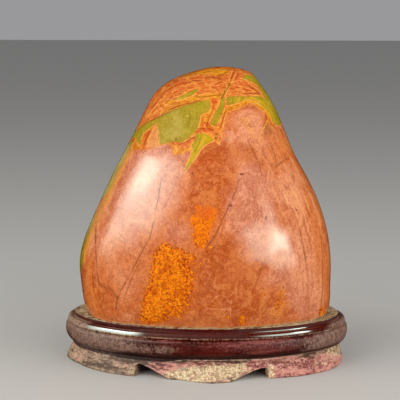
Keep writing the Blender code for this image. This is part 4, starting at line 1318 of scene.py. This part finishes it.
def lacquer_finish():
    """Red-brown lacquer over carved wood, dusty on its ends and worn to pale wood on its skirt; the shade
    in its recess and the highlights on a few of its edges are painted.
    """
    f = Finish("lacquered_wood")
    dust, crimson, cream = f.attribute("wear_and_sheen")
    x, _, z = (part / MM for part in f.split(f.place))
    grain = f.noise(1.0, 4.0, 0.6, f.scaled(30.0, 260.0, 420.0), 0.3)
    streak = f.noise(1.0, 3.0, 0.55, f.scaled(16.0, 70.0, 210.0), 0.2)
    flecks = f.noise(1.0, 4.0, 0.72, f.scaled(210.0, 320.0, 620.0), 0.3)
    mottle = f.noise(300.0, 4.0, 0.65)
    fine = f.noise(820.0, 3.0, 0.65)
    cloud = f.noise(45.0, 3.0, 0.5)

    # Heights of the mouldings, from the top down; the pale skirt reaches higher on the right
    left_dip = f.ramp(abs(x + 45.0), 30.0, 10.0) * 0.9
    middle_rise = f.ramp(abs(x - 10.0), 44.0, 15.0) * 1.9
    worn = z - (f.ramp(x, 20.0, 85.0) * 3.6 - left_dip + middle_rise)
    ledge = f.ramp(z, 37.9, 38.2)
    riser = f.between(z, 35.2, 35.7, 37.8, 38.2)
    bead = f.between(z, 31.4, 32.2, 35.4, 35.8)
    bead_foot = f.between(z, 30.9, 31.3, 31.8, 32.4)
    under_bead = f.between(z, 29.4, 30.0, 32.2, 33.0) * f.ramp(x, -34.0, -58.0)
    frieze_edge_highlight = f.between(z, 28.6, 29.0, 29.5, 29.9)
    recess = f.ramp(z, 20.6, 17.6) * f.ramp(worn, 12.4, 13.2)
    skirt_edge_highlight = f.between(worn, 11.6, 12.2, 12.6, 13.1) * f.ramp(x, -40.0, -10.0)
    skirt = f.ramp(worn, 13.2, 12.2)

    # Lacquer, with painted highlights along the frieze's top edge and the bead's top at the front, painted
    # shade in the recess under the frieze, and where it is rubbed
    colour = f.layers(
        f.mix(f.ramp(cloud, -0.15, 0.15), (62, 11, 6), (88, 22, 15)),
        (streak, 0.0, 0.2, 0.5, (116, 48, 40)),
        (grain, -0.04, -0.16, 0.5, (34, 7, 5)),
    )
    colour = f.mix(riser * 0.8, colour, (78, 9, 3))
    colour = f.mix(bead * 0.7, colour, (76, 10, 4))
    colour = f.layers(
        colour,
        (fine + mottle, -0.08, 0.1, bead_foot * 0.7, (176, 140, 108)),
        # A pale pinkish line on the frieze's top edge: a painted highlight
        (mottle, -0.04, 0.08, frieze_edge_highlight * 0.4, (166, 96, 88)),
    )
    # Painted shade: the recess under the frieze darkened almost to black
    colour = f.mix(recess * 0.92, colour, (44, 4, 2))
    # Lacquer rubbed to crimson; the same layer paints a highlight line along the bead's top at the front
    rubbed_and_sheen = f.mix(f.ramp(streak * 0.5 + fine * 0.5, -0.07, 0.08), (100, 34, 34), (158, 90, 84))
    rub_and_sheen = (1.0 - skirt) * (1.0 - riser * 0.8) * 0.75
    colour = f.layers(colour, (crimson + streak * 1.2 + fine * 1.2, 0.2, 1.0, rub_and_sheen, rubbed_and_sheen))

    # Pale worn skirt, with a painted highlight along its top edge
    stained = f.ramp(z, 4.5, 8.0) * f.ramp(flecks, 0.12, -0.06)
    pinkish = f.layers(
        f.mix(f.ramp(flecks * 0.6 + streak * 0.4, -0.08, 0.07), (132, 60, 54), (214, 144, 130)),
        (fine, 0.04, 0.12, 0.6, (236, 196, 176)),
        (abs(x + 38.0), 16.0, 9.0, stained * 0.85, (104, 40, 38)),
    )
    creamy = f.layers(
        f.mix(f.ramp(fine, -0.06, 0.06), (194, 160, 124), (242, 220, 180)),
        (mottle, -0.02, -0.09, 0.75, (154, 128, 88)),
        (flecks, -0.06, -0.14, 0.8, (176, 100, 88)),
    )
    bare_wood_and_edge_highlight = f.layers(
        f.mix(f.ramp(flecks * 0.5 + streak * 0.5, -0.07, 0.07), (90, 60, 44), (186, 154, 126)),
        (grain, -0.04, -0.14, 0.5, (80, 54, 42)),
        (z, 4.0, 1.0, f.ramp(mottle, -0.08, 0.06) * 0.4, (190, 170, 146)),
        (crimson + streak * 2.2 + flecks * 2.0, 0.1, 0.9, 1.0, pinkish),
        (cream + flecks * 1.6 + mottle * 0.8, 0.2, 0.8, 1.0, creamy),
        # A pale line along the skirt's top edge: a painted highlight
        (flecks, -0.08, 0.0, skirt_edge_highlight * 0.7, (228, 198, 176)),
    )
    colour = f.mix(skirt * 0.96, colour, bare_wood_and_edge_highlight)

    # Dust on the ends, in the corners and on the ledge
    dusty = f.mix(f.ramp(fine * 0.6 + mottle * 0.4, -0.11, 0.12), (98, 68, 56), (162, 126, 110))
    left_end = mottle * 24.0 + cloud * 30.0 - x
    lie = f.ramp(dust + mottle * 0.8 + fine * 1.4, 0.2, 0.95) * (1.0 - skirt)
    lie = lie * (1.0 - recess * (0.3 + f.ramp(x, -74.0, -56.0) * 0.55)) * (1.0 - riser * 0.85)
    lie = lie * (1.0 - bead * f.ramp(left_end, 96.0, 82.0) * f.ramp(x, 102.0, 92.0) * 0.9)
    chalky = f.layers(
        f.mix(f.ramp(mottle, -0.08, 0.08), (160, 132, 92), (204, 186, 146)),
        (abs(x), 68.0, 92.0, f.ramp(mottle, 0.12, -0.1) * 0.7, (96, 76, 50)),
    )
    bead_dust = bead * f.ramp(left_end, 82.0, 98.0)
    colour = f.layers(
        f.mix(lie * 0.88, colour, dusty),
        (mottle * 0.5 + fine * 0.5, -0.1, 0.04, bead_dust * 0.7, (170, 142, 114)),
        (mottle * 0.4 + fine * 0.6, -0.09, 0.03, under_bead * 0.7, (160, 132, 108)),
        (mottle + dust * 0.2, -0.12, 0.0, ledge * 0.9, chalky),
    )

    polished = bead * (1.0 - lie) * (f.ramp(x, -42.0, -54.0) + f.ramp(x, 26.0, 40.0))
    rough = 0.27 + mottle * 0.2 + skirt * 0.36 + lie * 0.28 + recess * 0.3 + ledge * 0.3
    rough = rough + bead * 0.3 - polished * 0.45
    rough = rough + riser * f.ramp(x, 15.0, 35.0) * 0.35 + f.ramp(x, 20.0, 60.0) * 0.12
    smooth = f.ramp(riser + bead, 0.2, 0.8) * 0.85
    height = (0.5 + grain * 0.5 + mottle * 0.5 + fine * 0.5) * (1.0 - smooth)
    return f.close(
        Base_Color=colour,
        Roughness=rough,
        IOR=1.34,
        Coat_Weight=polished,
        Coat_Roughness=0.06,
        Coat_IOR=2.0,
        Normal=f.bump(height, 0.3 * MM),
    )


# Studio


def make_floor():
    cage = bmesh.new()
    bmesh.ops.create_grid(cage, x_segments=1, y_segments=1, size=FLOOR_HALF_WIDTH)
    floor = add_piece("floor", take_mesh(cage, "floor"))
    floor.data.materials.append(Finish("floor").close(Base_Color=FLOOR_COLOUR, Roughness=0.7))
    floor.visible_glossy = False


def make_camera():
    lens = bpy.data.cameras.new("camera")
    lens.sensor_width = SENSOR_MM
    lens.lens = FOCAL * SENSOR_MM / PICTURE
    lens.clip_start, lens.clip_end = CAMERA_CLIP
    camera = add_piece("camera", lens)
    camera.location = CAMERA_PLACE
    camera.rotation_euler = (math.pi / 2.0 - CAMERA_PITCH, 0.0, CAMERA_YAW)
    bpy.context.scene.camera = camera


def fading_sides(lamp, left, right, bottom, top):
    """Makes a light fade towards its sides, by shares of its width and height."""
    lamp.use_nodes = True
    nodes = Nodes(lamp.node_tree)
    across, up, _ = nodes.split(nodes.node("ShaderNodeNewGeometry", output="Parametric"))
    strength = nodes.between(across, 0.0, left, 1.0 - right, 1.0)
    strength = strength * nodes.between(up, 0.0, bottom, 1.0 - top, 1.0)
    lamp.node_tree.links.new(strength.socket, lamp.node_tree.nodes["Emission"].inputs["Strength"])


def make_light(name, target, azimuths, elevations, fades, distance, radiance, colour, kind):
    """A flat soft light that fills a range of directions as seen from the target.

    Azimuth is 0 towards the viewer and grows to the right; angles are in degrees. A "shine" light
    shows only as a reflection, and a "glow" light only lights the colours.
    """
    azimuth, half_azimuth = half_range(azimuths)
    elevation, half_elevation = half_range(elevations)
    out = Vector((math.sin(azimuth), -math.cos(azimuth), 0.0)) * math.cos(elevation)
    out.z = math.sin(elevation)
    lamp = bpy.data.lights.new(name, "AREA")
    lamp.shape = "RECTANGLE"
    lamp.size = 2.0 * distance * math.tan(half_azimuth) * math.cos(elevation)
    lamp.size_y = 2.0 * distance * math.tan(half_elevation)
    lamp.energy = radiance * math.pi * lamp.size * lamp.size_y
    lamp.color = colour
    if any(fades):
        width = azimuths[1] - azimuths[0]
        height = elevations[1] - elevations[0]
        fading_sides(lamp, fades[0] / width, fades[1] / width, fades[2] / height, fades[3] / height)
    light = add_piece(name, lamp)
    light.location = Vector(target) + out * distance
    light.rotation_mode = "QUATERNION"
    light.rotation_quaternion = (-out).to_track_quat("-Z", "Y")
    light.visible_camera = False
    light.visible_diffuse = kind != "shine"
    light.visible_glossy = kind != "glow"


def half_range(degrees):
    """The middle and half the spread of a range of degrees, in radians."""
    return math.radians(sum(degrees) / 2.0), math.radians((degrees[1] - degrees[0]) / 2.0)


def make_world():
    world = bpy.data.worlds.new("studio")
    world.use_nodes = True
    sky = world.node_tree.nodes["Background"]
    sky.inputs["Color"].default_value = SKY_COLOUR
    sky.inputs["Strength"].default_value = SKY_STRENGTH
    bpy.context.scene.world = world
    world.cycles_visibility.glossy = False


def main():
    make_camera()
    make_world()
    make_floor()
    for light in LIGHTS:
        make_light(*light)

    stone = add_piece("polished_stone", stone_mesh("polished_stone", STONE_SEGMENTS, STONE_RINGS))
    draw_markings(stone.data)
    stone.data.materials.append(jasper_finish())
    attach(stone, "root")
    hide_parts("jasper_stone")

    stand = make_stand()
    draw_wear_and_sheen(stand.data)
    stand.data.materials.clear()
    stand.data.materials.append(lacquer_finish())
    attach(stand, "root")
    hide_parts("wood_stand")

    bpy.context.scene.view_settings.view_transform = "Standard"


main()
